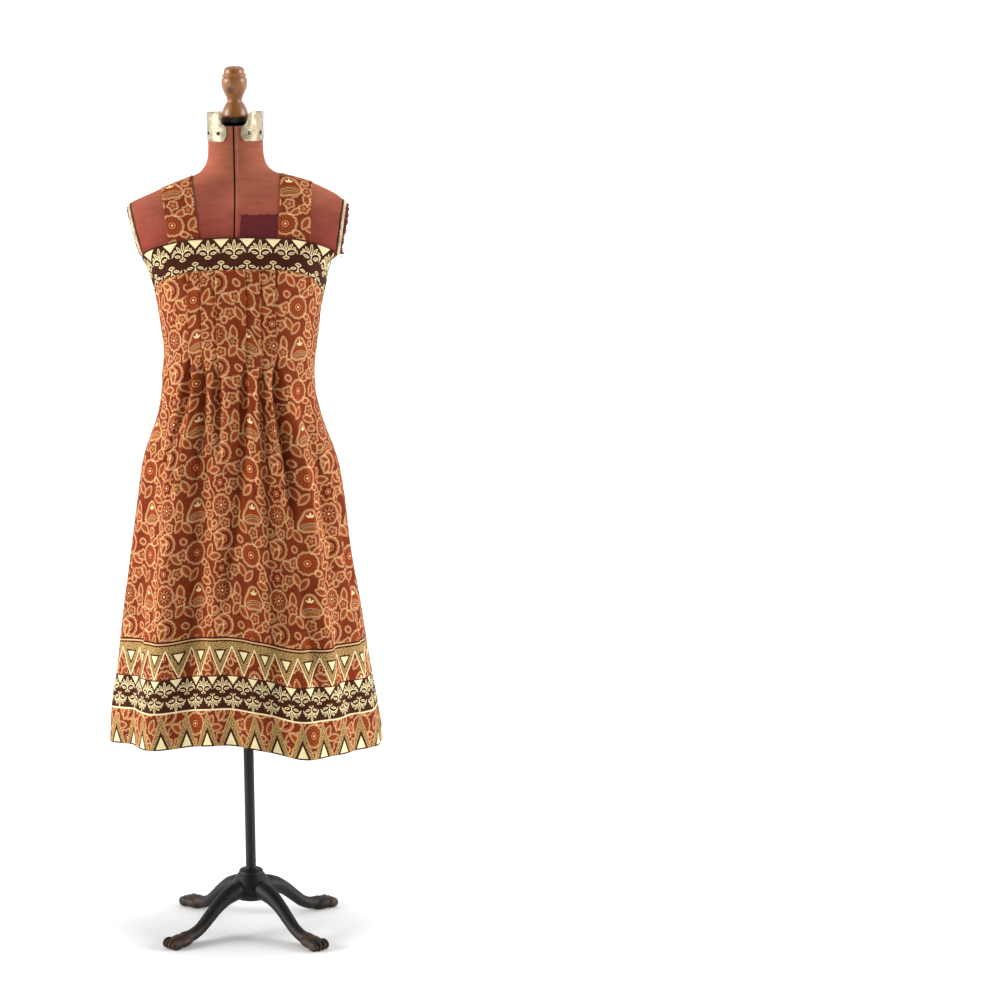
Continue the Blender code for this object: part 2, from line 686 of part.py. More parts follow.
def build_strap(strap, collection):
    """A shoulder strap that lies on the form, its ends behind the two bands."""
    grid = []
    for step in range(STRAP_ROWS):
        part = step / (STRAP_ROWS - 1)
        knots = (strap.front, strap.shoulder, strap.back)
        middle = smooth_value((0.0, STRAP_PEAK, 1.0), knots, part)
        row = []
        for column in range(STRAP_COLUMNS):
            across = middle + STRAP_WIDTH * (column / (STRAP_COLUMNS - 1) - 0.5)
            front = band_edge_height(FRONT_BAND_TOP, across, -1) - STRAP_TUCK_IN
            back = band_edge_height(BACK_BAND_TOP, across, 1) - STRAP_TUCK_IN
            point, normal = place_along(over_shoulder(across, front, back), part)
            lifted = point + normal * STRAP_CLEARANCE
            row.append(Vector((across, lifted.x, lifted.y)))
        grid.append(row)
    mesh = facing(loft(strap.name, grid), lambda place: Vector((0.0, place.y, NECK_RADIUS)))
    shade_round(mesh)
    made = add_object(strap.name, mesh, collection, "printed_cotton")
    solidify(made, STRAP_WALL, 1.0)
    return made


def band_edge_height(edge, across, face):
    """Height of a band's top edge at a distance from the centre."""
    height = edge[len(edge) // 2].height
    for _ in range(SETTLING_ROUNDS):
        fraction = fraction_at("dress", height, across, face)
        height = read_table(edge, "height", fraction)
    return height


def torso_ring(height):
    """One ring of the torso, with the narrow gap at the centre front and centre back."""
    halves = []
    for side in (1, -1):
        half = []
        for face in (-1, 1):
            level = section_at("form", height)
            depth = level.front if face < 0 else level.back
            lip = face * depth
            inner = face * (depth - FORM_GAP_DEPTH)
            edge = 0.5 * FORM_GAP_WIDTH * side
            groove = [Vector((FORM_GAP_TAPER * edge, inner, height)), Vector((edge, lip, height))]
            arc = []
            for fraction in TORSO_COLUMNS:
                point, _, _ = on_section("form", height, side * fraction, face)
                arc.append(Vector((point.x, point.y, height)))
            quarter = groove + arc
            half += quarter if face < 0 else list(reversed(quarter))
            if face < 0:
                flank, _, _ = on_section("form", height, side * 1.0, face)
                half.append(Vector((flank.x, flank.y, height)))
        halves.append(half)
    return halves[0] + list(reversed(halves[1]))


def slanted_box(name, end, start, thickness, collection):
    """A slab that lies on the slanted plane of an arm end, starting a given way out from it."""
    built = bmesh.new()
    bmesh.ops.create_cube(built, size=1.0)
    bmesh.ops.scale(built, vec=(thickness, ARM_SLAB_DEPTH, ARM_SLAB_HEIGHT), verts=built.verts)
    bmesh.ops.translate(built, vec=(start + 0.5 * thickness, 0.0, 0.0), verts=built.verts)
    turn = Matrix.Rotation(end.side * math.atan(end.lean), 3, "Y")
    if end.side < 0:
        bmesh.ops.scale(built, vec=(-1.0, 1.0, 1.0), verts=built.verts)
        bmesh.ops.reverse_faces(built, faces=built.faces)
    bmesh.ops.rotate(built, cent=(0.0, 0.0, 0.0), matrix=turn, verts=built.verts)
    place = (end.side * end.reach, 0.0, ARM_PLANE_HEIGHT)
    bmesh.ops.translate(built, vec=place, verts=built.verts)
    made = add_object(name, as_mesh(name, built), collection, None)
    made.display_type = "WIRE"
    made.hide_render = True
    return made


def boolean(target, cutter, operation):
    """Cut a solid with another, join them or keep what they share."""
    cut = target.modifiers.new(operation.lower(), "BOOLEAN")
    cut.operation = operation
    cut.solver = "EXACT"
    cut.object = cutter


def torso_mesh(name):
    """The torso before its arm ends are cut flat."""
    rings = [torso_ring(row.height) for row in FORM_SECTIONS]
    mesh = loft(name, rings, closed=True, caps=True)
    shade_round(mesh)
    return mesh


def build_torso(parts, cutters):
    """The whole, smooth torso, its arm ends cut flat and closed with boards."""
    torso = add_object("form_torso", torso_mesh("form_torso"), parts, "form_jersey")
    for end in ARM_ENDS:
        cut_start = -ARM_BOARD_THICKNESS - SEAM_GAP
        cut = slanted_box(f"cut_arm_{end.word}", end, cut_start, ARM_CUT_THICKNESS, cutters)
        boolean(torso, cut, "DIFFERENCE")
        name = f"arm_board_{end.word}"
        board = add_object(name, torso_mesh(name), parts, "arm_board")
        slab = slanted_box(
            f"slab_arm_{end.word}", end, -ARM_BOARD_THICKNESS, ARM_BOARD_THICKNESS, cutters,
        )
        boolean(board, slab, "INTERSECT")
    return torso


def turned_mesh(name, profile, bottom, steps):
    """A turned shape from its profile, which runs down the outer side at +X."""
    built = bmesh.new()
    verts = [built.verts.new((row.radius, 0.0, bottom + row.height)) for row in profile]
    edges = [built.edges.new(pair) for pair in zip(verts, verts[1:])]
    bmesh.ops.spin(
        built, geom=verts + edges, cent=(0.0, 0.0, 0.0), axis=(0.0, 0.0, 1.0),
        angle=2.0 * math.pi, steps=steps, use_merge=True,
    )
    bmesh.ops.remove_doubles(built, verts=built.verts, dist=0.00002)
    bmesh.ops.recalc_face_normals(built, faces=built.faces)
    mesh = as_mesh(name, built)
    shade_round(mesh)
    return mesh


def neck_point(angle, height, outward):
    """A point round the neck, its angle counted from the centre front towards +X."""
    radius = NECK_RADIUS + outward
    return Vector((radius * math.sin(angle), -radius * math.cos(angle), height))


def build_neck_plates(parts):
    """Four curved sheet plates, a tab of each above the neck, and two rivets in each."""
    corners = ((1, 1, "front_left"), (-1, 1, "front_right"), (1, -1, "back_left"), (-1, -1, "back_right"))
    for side, front, word in corners:
        rows = [[] for _ in range(PLATE_ROWS)]
        for index in range(PLATE_COLUMNS + 1):
            share = index / PLATE_COLUMNS
            angle = PLATE_NEAR + (PLATE_FAR - PLATE_NEAR) * share
            run = min(angle - PLATE_NEAR, PLATE_FAR - angle) * NECK_RADIUS
            inset = max(PLATE_CORNER - run, 0.0)
            low = PLATE_BOTTOM + PLATE_CORNER - math.sqrt(PLATE_CORNER ** 2 - inset ** 2)
            rise = min(max((angle - PLATE_NEAR) / (PLATE_TAB - PLATE_NEAR), 0.0), 1.0)
            high = PLATE_SHOULDER - PLATE_SHOULDER_FALL * (1.0 - rise)
            if angle > PLATE_TAB:
                high = PLATE_TOP
            for row, points in enumerate(rows):
                height = low + (high - low) * row / (PLATE_ROWS - 1)
                around = side * (angle if front > 0 else math.pi - angle)
                points.append(neck_point(around, height, FACET_GAP))
        name = f"neck_plate_{word}"
        mesh = facing(loft(name, rows), away_from_axis)
        shade_round(mesh)
        plate = add_object(name, mesh, parts, "neck_plate")
        solidify(plate, PLATE_THICKNESS, 1.0)
        for number, angle in enumerate(RIVET_ANGLES, start=1):
            around = side * (angle if front > 0 else math.pi - angle)
            build_rivet(f"rivet_{word}_{number}", around, parts)


def build_rivet(name, around, parts):
    """A domed rivet head that sits just off its plate."""
    mesh = turned_mesh(name, RIVET_PROFILE, 0.0, RIVET_STEPS)
    outward = Vector((math.sin(around), -math.cos(around), 0.0))
    turn = Vector((0.0, 0.0, 1.0)).rotation_difference(outward).to_matrix().to_4x4()
    seat = FACET_GAP + PLATE_THICKNESS + FACET_GAP
    mesh.transform(Matrix.Translation(neck_point(around, RIVET_PLACE, seat)) @ turn)
    return add_object(name, mesh, parts, "neck_plate")


def build_top(parts):
    """The black boss in the neck and the turned finial on it."""
    boss_bottom = NECK_TOP + SEAM_GAP
    boss_height = FINIAL_BOTTOM - SEAM_GAP - boss_bottom
    profile = [
        Turned(0.0, boss_height), Turned(BOSS_RADIUS, boss_height),
        Turned(BOSS_RADIUS, BOSS_CHAMFER_PART * boss_height),
        Turned(BOSS_RADIUS - BOSS_CHAMFER, 0.0), Turned(0.0, 0.0),
    ]
    boss = turned_mesh("neck_boss", profile, boss_bottom, BOSS_STEPS)
    add_object("neck_boss", boss, parts, "blackened_iron")
    finial = turned_mesh("finial", FINIAL_PROFILE, FINIAL_BOTTOM, FINIAL_STEPS)
    add_object("finial", finial, parts, "finial_wood")


def build_pole(parts):
    """The pole and the socket that carries the torso."""
    bottom = HUB_TOP + SEAM_GAP
    length = SOCKET_BOTTOM - SEAM_GAP - bottom
    profile = [
        Turned(0.0, length), Turned(POLE_RADIUS, length), Turned(POLE_RADIUS, 0.0), Turned(0.0, 0.0),
    ]
    add_object("pole", turned_mesh("pole", profile, bottom, POLE_STEPS), parts, "blackened_iron")
    rise = FORM_BOTTOM - SEAM_GAP - SOCKET_BOTTOM
    socket = [
        Turned(0.0, rise), Turned(SOCKET_FLANGE_RADIUS, rise),
        Turned(SOCKET_FLANGE_RADIUS, rise - SOCKET_FLANGE),
        Turned(SOCKET_COLLAR_RADIUS, rise - SOCKET_FLANGE - SOCKET_FLANGE_SLOPE),
        Turned(SOCKET_RADIUS, 0.0), Turned(0.0, 0.0),
    ]
    mesh = turned_mesh("form_socket", socket, SOCKET_BOTTOM, POLE_STEPS)
    add_object("form_socket", mesh, parts, "blackened_iron")


def ellipsoid(name, half_sizes, place, turn, segments, collection):
    """A rounded lump of the casting."""
    built = bmesh.new()
    bmesh.ops.create_uvsphere(
        built, u_segments=segments[0], v_segments=segments[1], radius=1.0,
    )
    bmesh.ops.scale(built, vec=half_sizes, verts=built.verts)
    bmesh.ops.translate(built, vec=place, verts=built.verts)
    bmesh.ops.rotate(built, cent=(0.0, 0.0, 0.0), matrix=turn, verts=built.verts)
    return add_object(name, as_mesh(name, built), collection, None)


def leg_rod(name, turn, collection):
    """A leg as a round rod that rises from the hub, sweeps down and thickens at the paw."""
    rings = []
    start, end = LEG_POINTS[0].reach, LEG_POINTS[-1].reach
    for step in range(LEG_RINGS):
        reach = start + (end - start) * step / (LEG_RINGS - 1)
        height = read_table(LEG_POINTS, "height", reach)
        after = read_table(LEG_POINTS, "height", reach + LEG_SLOPE_SPAN)
        before = read_table(LEG_POINTS, "height", reach - LEG_SLOPE_SPAN)
        along = Vector((2.0 * LEG_SLOPE_SPAN, 0.0, after - before)).normalized()
        upward = Vector((-along.z, 0.0, along.x))
        radius = read_table(LEG_POINTS, "thickness", reach)
        ring = []
        for side in range(LEG_SIDES):
            angle = 2.0 * math.pi * side / LEG_SIDES
            spoke = Vector((0.0, math.cos(angle), 0.0)) + upward * math.sin(angle)
            ring.append(turn @ (Vector((reach, 0.0, height)) + spoke * radius))
        rings.append(ring)
    return add_object(name, loft(name, rings, closed=True, caps=True), collection, None)


def build_stand(parts, cutters):
    """The one-piece casting: a domed hub, four S-shaped legs and their paws."""
    hub = turned_mesh("stand_base", HUB_PROFILE, HUB_BOTTOM, HUB_STEPS)
    stand = add_object("stand_base", hub, parts, "cast_iron")
    lumps = []
    for number in range(LEG_COUNT):
        turn = Matrix.Rotation(LEG_TURN + number * 2.0 * math.pi / LEG_COUNT, 3, "Z")
        lumps.append(leg_rod(f"leg_{number}", turn, cutters))
        pad = ellipsoid(f"pad_{number}", PAW_PAD, PAW_PAD_PLACE, turn, PAD_SEGMENTS, cutters)
        lumps.append(pad)
        for toe in range(TOE_COUNT):
            step = toe - 0.5 * (TOE_COUNT - 1)
            reach = TOE_REACH - TOE.x * (1.0 + TOE_FALL_BACK * abs(step))
            place = Vector((reach, step * TOE_SPREAD, TOE_HEIGHT))
            lumps.append(ellipsoid(f"toe_{number}_{toe}", TOE, place, turn, TOE_SEGMENTS, cutters))
    for lump in lumps:
        lump.display_type = "WIRE"
        lump.hide_render = True
        boolean(stand, lump, "UNION")
    built = bmesh.new()
    bmesh.ops.create_cube(built, size=FLOOR_CUT_SIZE)
    bmesh.ops.translate(built, vec=(0.0, 0.0, -0.5 * FLOOR_CUT_SIZE), verts=built.verts)
    floor = add_object("floor_cut", as_mesh("floor_cut", built), cutters, None)
    floor.display_type = "WIRE"
    floor.hide_render = True
    boolean(stand, floor, "DIFFERENCE")
    return stand


def main():
    """Build the dress, the form and the stand."""
    clear_scene()
    parts = new_collection("shift_dress_on_form")
    cutters = new_collection("cutters")
    front_columns = front_panel_columns()
    back_columns = [-1.0] + spread(-1.0, 1.0, BACK_COLUMNS)
    build_panel(
        "front_panel", parts, -1, FRONT_BAND_TOP, FRONT_HEM, FRONT_FOLDS, FRONT_ROWS,
        front_columns, True,
    )
    build_panel(
        "back_panel", parts, 1, BACK_BAND_TOP, BACK_HEM, BACK_FOLDS, BACK_ROWS,
        back_columns, False,
    )
    build_band("band_front", parts, -1, FRONT_BAND_TOP, front_columns, True)
    build_band("band_back", parts, 1, BACK_BAND_TOP, back_columns, False)
    for strap in STRAPS:
        build_strap(strap, parts)
    build_torso(parts, cutters)
    build_neck_plates(parts)
    build_top(parts)
    build_pole(parts)
    build_stand(parts, cutters)
    for made in list(parts.objects) + list(cutters.objects):
        made.location = CENTRE_OFFSET


main()
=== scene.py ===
"""Looks of a printed cotton shift dress on its dress form and iron stand.

Units are metres, +Z is up, the dress faces -Y and +X is the wearer's left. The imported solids
give the places, and every cloth and form piece here is a finer one on the same sections.
"""

import logging
import math
from collections.abc import Callable, Sequence
from dataclasses import dataclass, field
from enum import Enum, IntEnum

import bmesh
import bpy
import numpy as np
from bmesh.types import BMEdge, BMesh, BMVert
from bpy.types import ColorRamp, ID, Material, Mesh, NodeSocket, NodeTree, Object
from mathutils import Matrix, Vector
from numpy import ndarray as Array


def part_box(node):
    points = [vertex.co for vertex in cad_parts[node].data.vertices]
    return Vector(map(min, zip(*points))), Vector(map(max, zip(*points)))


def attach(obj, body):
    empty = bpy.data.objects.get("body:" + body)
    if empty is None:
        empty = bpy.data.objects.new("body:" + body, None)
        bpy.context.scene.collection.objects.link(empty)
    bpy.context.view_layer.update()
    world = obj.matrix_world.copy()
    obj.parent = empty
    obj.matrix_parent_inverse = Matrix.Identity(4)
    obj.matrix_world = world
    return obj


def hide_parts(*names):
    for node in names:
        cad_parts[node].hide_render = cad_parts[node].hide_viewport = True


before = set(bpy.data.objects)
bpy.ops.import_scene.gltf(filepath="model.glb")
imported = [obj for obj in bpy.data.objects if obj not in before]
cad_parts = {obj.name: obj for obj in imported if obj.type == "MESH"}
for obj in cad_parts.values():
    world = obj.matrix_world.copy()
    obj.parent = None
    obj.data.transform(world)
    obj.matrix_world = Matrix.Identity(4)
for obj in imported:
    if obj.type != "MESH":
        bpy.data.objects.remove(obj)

REPORT = logging.getLogger("shift_dress")
FULL_TURN = 2.0 * math.pi
UP = Vector((0.0, 0.0, 1.0))
# Where the pole stands from the origin, which is under the middle of the whole piece
POLE_PLACE = Vector((0.0023, 0.0049, 0.0))

SEAM_GAP = 0.0003
CLOTH_THICKNESS = 0.0011
BAND_HEIGHT = 0.055
STRAP_WIDTH = 0.055
STRAP_CLEARANCE = 0.0011
STRAP_TUCK_IN = 0.010
TUCK_TAKE = 0.012
FORM_BOTTOM = 0.750
NECK_TOP = 1.486
NECK_RADIUS = 0.049
ARM_PLANE_HEIGHT = 1.291
STUB_BOTTOM = 1.215
FINIAL_BOTTOM = 1.4998


class Face(IntEnum):
    """Which half of the object is meant, by the sign of its depth."""

    FRONT = -1
    BACK = 1


@dataclass(frozen=True)
class Section:
    """One level section: how far it reaches to each side, forwards and back."""

    height: float
    left: float
    right: float
    front: float
    back: float
    squareness: float


@dataclass(frozen=True)
class Edge:
    """A point of a cut edge: its part of the way to the side seam, and its height."""

    fraction: float
    height: float


@dataclass(frozen=True)
class Fold:
    """A broad fold of the skirt, by how far it stands out at three heights below the waist."""

    fraction: float
    hip: float
    knee: float
    hem: float
    width_waist: float
    width_hem: float


@dataclass(frozen=True)
class Tuck:
    """A stitched tuck: its place, its release, and the fold that it opens into."""

    across: float
    below: float
    release: float
    fades_at: float
    strength: float


@dataclass(frozen=True)
class Crease:
    """A soft trough or ridge between two points of a panel, by fraction and height."""

    start: float
    start_height: float
    end: float
    end_height: float
    lift: float
    width: float


@dataclass(frozen=True)
class Turned:
    """A point of a turned profile."""

    radius: float
    height: float


@dataclass(frozen=True)
class LegPoint:
    """A point of a stand leg, by its reach from the pole."""

    reach: float
    height: float
    thickness: float


def rows_of(kind: type, *rows: tuple[float, ...]) -> tuple:
    """Read a table, as one object of a kind for each row of numbers."""
    return tuple(kind(*row) for row in rows)


# Level sections of the form, from its lower edge up to its neck
FORM_SECTIONS = rows_of(
    Section,
    (.75, .166, .166, .106, .116, 2.2), (.8, .17, .17, .11, .122, 2.2),
    (.845, .171, .171, .112, .124, 2.2), (.88, .164, .164, .11, .119, 2.2),
    (.915, .151, .151, .106, .11, 2.2), (.95, .138, .138, .101, .1, 2.2),
    (.985, .127, .127, .096, .091, 2.2), (1.02, .121, .121, .092, .085, 2.2),
    (1.055, .121, .121, .093, .085, 2.2), (1.095, .127, .127, .101, .09, 2.2),
    (1.135, .134, .134, .114, .097, 2.2), (1.175, .143, .143, .124, .103, 2.2),
    (1.205, .15, .15, .124, .106, 2.3), (1.227, .155, .156, .119, .107, 2.4),
    (1.241, .16, .162, .114, .108, 2.5), (1.248, .164, .172, .111, .108, 2.5),
    (1.256, .171, .187, .108, .108, 2.5), (1.272, .189, .2, .102, .107, 2.5),
    (1.29, .201, .204, .094, .104, 2.5), (1.309, .205, .205, .084, .098, 2.5),
    (1.326, .204, .204, .074, .089, 2.5), (1.338, .2, .2, .066, .081, 2.4),
    (1.346, .195, .195, .06, .074, 2.4), (1.353, .186, .187, .056, .069, 2.3),
    (1.36, .17, .178, .052, .063, 2.2), (1.367, .154, .166, .05, .058, 2.2),
    (1.374, .138, .152, .048, .055, 2.1), (1.381, .121, .137, .047, .052, 2.1),
    (1.388, .103, .118, .047, .05, 2.), (1.395, .083, .092, .048, .049, 2.),
    (1.402, .067, .069, .049, .049, 2.), (1.41, .059, .059, .05, .049, 2.),
    (1.42, .053, .053, .0495, .049, 2.), (1.435, .0498, .0498, .0492, .049, 2.),
    (1.456, NECK_RADIUS, NECK_RADIUS, NECK_RADIUS, NECK_RADIUS, 2.),
    (NECK_TOP, NECK_RADIUS, NECK_RADIUS, NECK_RADIUS, NECK_RADIUS, 2.),
)

# Level sections of the plain dress, before folds, tucks and creases
DRESS_SECTIONS = rows_of(
    Section,
    (.34, .253, .248, .202, .204, 2.1), (.376, .25, .246, .198, .199, 2.1),
    (.433, .2466, .2376, .192, .192, 2.1), (.527, .2311, .2224, .18, .18, 2.1),
    (.621, .2175, .209, .168, .169, 2.1), (.714, .204, .1939, .155, .158, 2.1),
    (.807, .1923, .1844, .141, .147, 2.1), (.844, .1877, .1795, .136, .142, 2.1),
    (.872, .183, .1745, .132, .137, 2.1), (.899, .1761, .1669, .128, .131, 2.1),
    (.936, .1625, .1529, .122, .122, 2.1), (.973, .1498, .1417, .117, .113, 2.1),
    (1.009, .1435, .1345, .113, .105, 2.1), (1.046, .1407, .1331, .112, .101, 2.1),
    (1.082, .1372, .1371, .115, .1, 2.1), (1.118, .1407, .1423, .121, .103, 2.1),
    (1.155, .1451, .1465, .128, .107, 2.2), (1.191, .151, .1545, .1315, .111, 2.2),
    (1.227, .1602, .162, .124, .1125, 2.4), (1.241, .1655, .168, .1195, .1135, 2.5),
    (1.248, .17, .178, .1165, .1137, 2.5), (1.256, .177, .193, .1137, .1138, 2.5),
    (1.272, .195, .206, .1078, .113, 2.5), (1.3, .209, .211, .0945, .106, 2.5),
)

TUCKS = rows_of(
    Tuck,
    (-.0845, -.465, 1.088, .72, 1.3), (-.06, -.315, 1.082, .86, 1.),
    (-.0335, -.17, 1.08, .95, .8), (.0195, .07, 1.078, .78, 1.2), (.045, .225, 1.08, .9, .8),
    (.072, .37, 1.082, .8, 1.3),
)

FRONT_FOLDS = rows_of(
    Fold,
    (-.88, .001, .004, .006, .024, .026), (-.68, -.006, -.01, -.012, .02, .028),
    (-.46, .012, .017, .018, .022, .034), (-.26, -.014, -.017, -.01, .018, .028),
    (-.05, -.01, -.01, -.015, .022, .038), (.2, -.014, -.016, -.006, .017, .026),
    (.33, .002, .006, .022, .018, .034), (.5, .012, .016, .002, .016, .026),
    (.65, -.008, -.01, -.007, .014, .022), (.82, .002, .003, .005, .012, .022),
)
BACK_FOLDS = rows_of(
    Fold,
    (-.72, 0., -.004, -.009, .03, .036), (-.42, .002, .008, .015, .03, .044),
    (-.02, -.003, -.008, -.015, .03, .052), (.38, .002, .008, .016, .03, .044),
    (.7, 0., -.005, -.01, .03, .036),
)
# Heights at which a fold's hem, knee, hip and waist are given
FOLD_HEIGHTS = (0.360, 0.600, 0.850, 1.075)

FRONT_HEM = rows_of(
    Edge,
    (-1., .361), (-.75, .374), (-.46, .382), (-.1, .394), (.08, .387), (.29, .371), (.6, .366),
    (1., .36),
)
BACK_HEM = rows_of(
    Edge,
    (-1., .361), (-.42, .352), (0., .359), (.38, .351), (1., .36),
)
FRONT_BAND_TOP = rows_of(
    Edge,
    (-1., 1.2365), (-.9, 1.248), (-.76, 1.265), (-.6, 1.281), (-.42, 1.2915), (0., 1.2945),
    (.42, 1.2915), (.6, 1.281), (.76, 1.2625), (.9, 1.2415), (1., 1.235),
)
BACK_BAND_TOP = rows_of(
    Edge,
    (-1., 1.2365), (-.6, 1.252), (0., 1.26), (.6, 1.252), (1., 1.2365),
)

# Soft troughs and ridges: uneven in length, depth and spacing
FRONT_CREASES = rows_of(
    Crease,
    (-.465, 1.07, -.6, .86, -.0135, .0075), (-.6, .87, -.54, .56, -.0085, .01),
    (-.4, 1.06, -.43, .83, .0065, .008), (-.315, 1.066, -.34, .82, -.01, .006),
    (-.245, 1.06, -.24, .88, .0037, .009), (-.17, 1.064, -.15, .9, -.008, .006),
    (-.06, 1.05, -.11, .72, .0045, .014), (.07, 1.066, .01, .84, -.014, .008),
    (.015, .9, -.11, .62, -.0125, .01), (.15, 1.055, .11, .76, .006, .011),
    (.225, 1.062, .24, .9, -.0085, .006), (.295, 1.05, .28, .72, .0045, .011),
    (.37, 1.068, .39, .78, -.0145, .0075), (.33, .86, .27, .5, -.01, .011),
    (.47, 1.03, .5, .7, .0053, .012), (.64, 1., .66, .62, -.0053, .009),
    (.8, .96, .86, .48, -.006, .008), (.88, .9, .92, .56, .0037, .007),
    (-.72, .9, -.78, .52, -.0045, .012), (-.9, .84, -.88, .5, .003, .01),
    (-.96, 1.1, -.62, 1.068, -.0017, .006), (-.98, 1.05, -.7, 1., .0018, .007),
    (.97, 1.09, .6, 1.07, -.002, .006), (.98, 1.03, .7, .985, .002, .008),
    (.93, 1.225, .56, 1.17, -.0021, .009), (-.93, 1.215, -.6, 1.165, -.0018, .009),
    (.75, 1.19, .5, 1.11, .0013, .008), (-.2, .56, -.26, .4, .0045, .016),
    (.52, .95, .6, .45, -.0055, .007), (.6, .93, .68, .5, .0045, .007),
    (.36, .9, .42, .44, -.0055, .009), (.02, .8, .04, .43, -.005, .012),
    (-.3, .8, -.34, .45, -.0055, .011), (-.56, .78, -.6, .44, .005, .011),
    (.12, .6, .14, .4, -.0037, .015),
)
BACK_CREASES = rows_of(
    Crease,
    (-.52, 1.06, -.56, .76, -.009, .011), (-.36, 1., -.33, .62, .008, .013),
    (-.16, 1.04, -.12, .7, -.008, .013), (.06, .98, .02, .56, .0067, .015),
    (.23, 1.05, .26, .72, -.009, .011), (.44, 1.01, .42, .6, .008, .013),
    (.6, 1.04, .68, .7, -.009, .01), (-.78, .94, -.82, .5, -.008, .01),
    (.82, .94, .86, .52, -.0067, .01), (-.95, 1.09, -.56, 1.05, -.0032, .008),
    (.95, 1.095, .58, 1.045, -.0032, .008), (-.4, 1.12, .38, 1.09, -.0024, .01),
    (-.3, 1.075, .34, 1.06, .0024, .009),
)


def curve_at(places: Sequence[float], values: Sequence[float], wanted: Array) -> Array:
    """Read a smooth curve through points, which never overshoots them.

    Args:
        places: Rising places of the points.
        values: Value at each place.
        wanted: Places to read.

    Returns:
        The value at each wanted place.
    """
    at = np.asarray(places, float)
    level = np.asarray(values, float)
    read = np.clip(np.asarray(wanted, float), at[0], at[-1])
    slope = np.diff(level) / np.diff(at)
    tangent = np.empty_like(level)
    tangent[0] = slope[0]
    tangent[-1] = slope[-1]
    before, after = slope[:-1], slope[1:]
    together = before * after > 0.0
    total = np.where(together, before + after, 1.0)
    tangent[1:-1] = np.where(together, 2.0 * before * after / total, 0.0)
    span = np.clip(np.searchsorted(at, read, side="right") - 1, 0, len(at) - 2)
    step = at[span + 1] - at[span]
    part = (read - at[span]) / step
    rise = part * part * (3.0 - 2.0 * part)
    start = part * (1.0 - part) ** 2
    end = part * part * (part - 1.0)
    between = level[span] + (level[span + 1] - level[span]) * rise
    return between + step * (start * tangent[span] + end * tangent[span + 1])


def edge_height(edge: Sequence[Edge], fraction: Array) -> Array:
    """Height of a cut edge at a part of the way to the side seam."""
    return curve_at([row.fraction for row in edge], [row.height for row in edge], fraction)


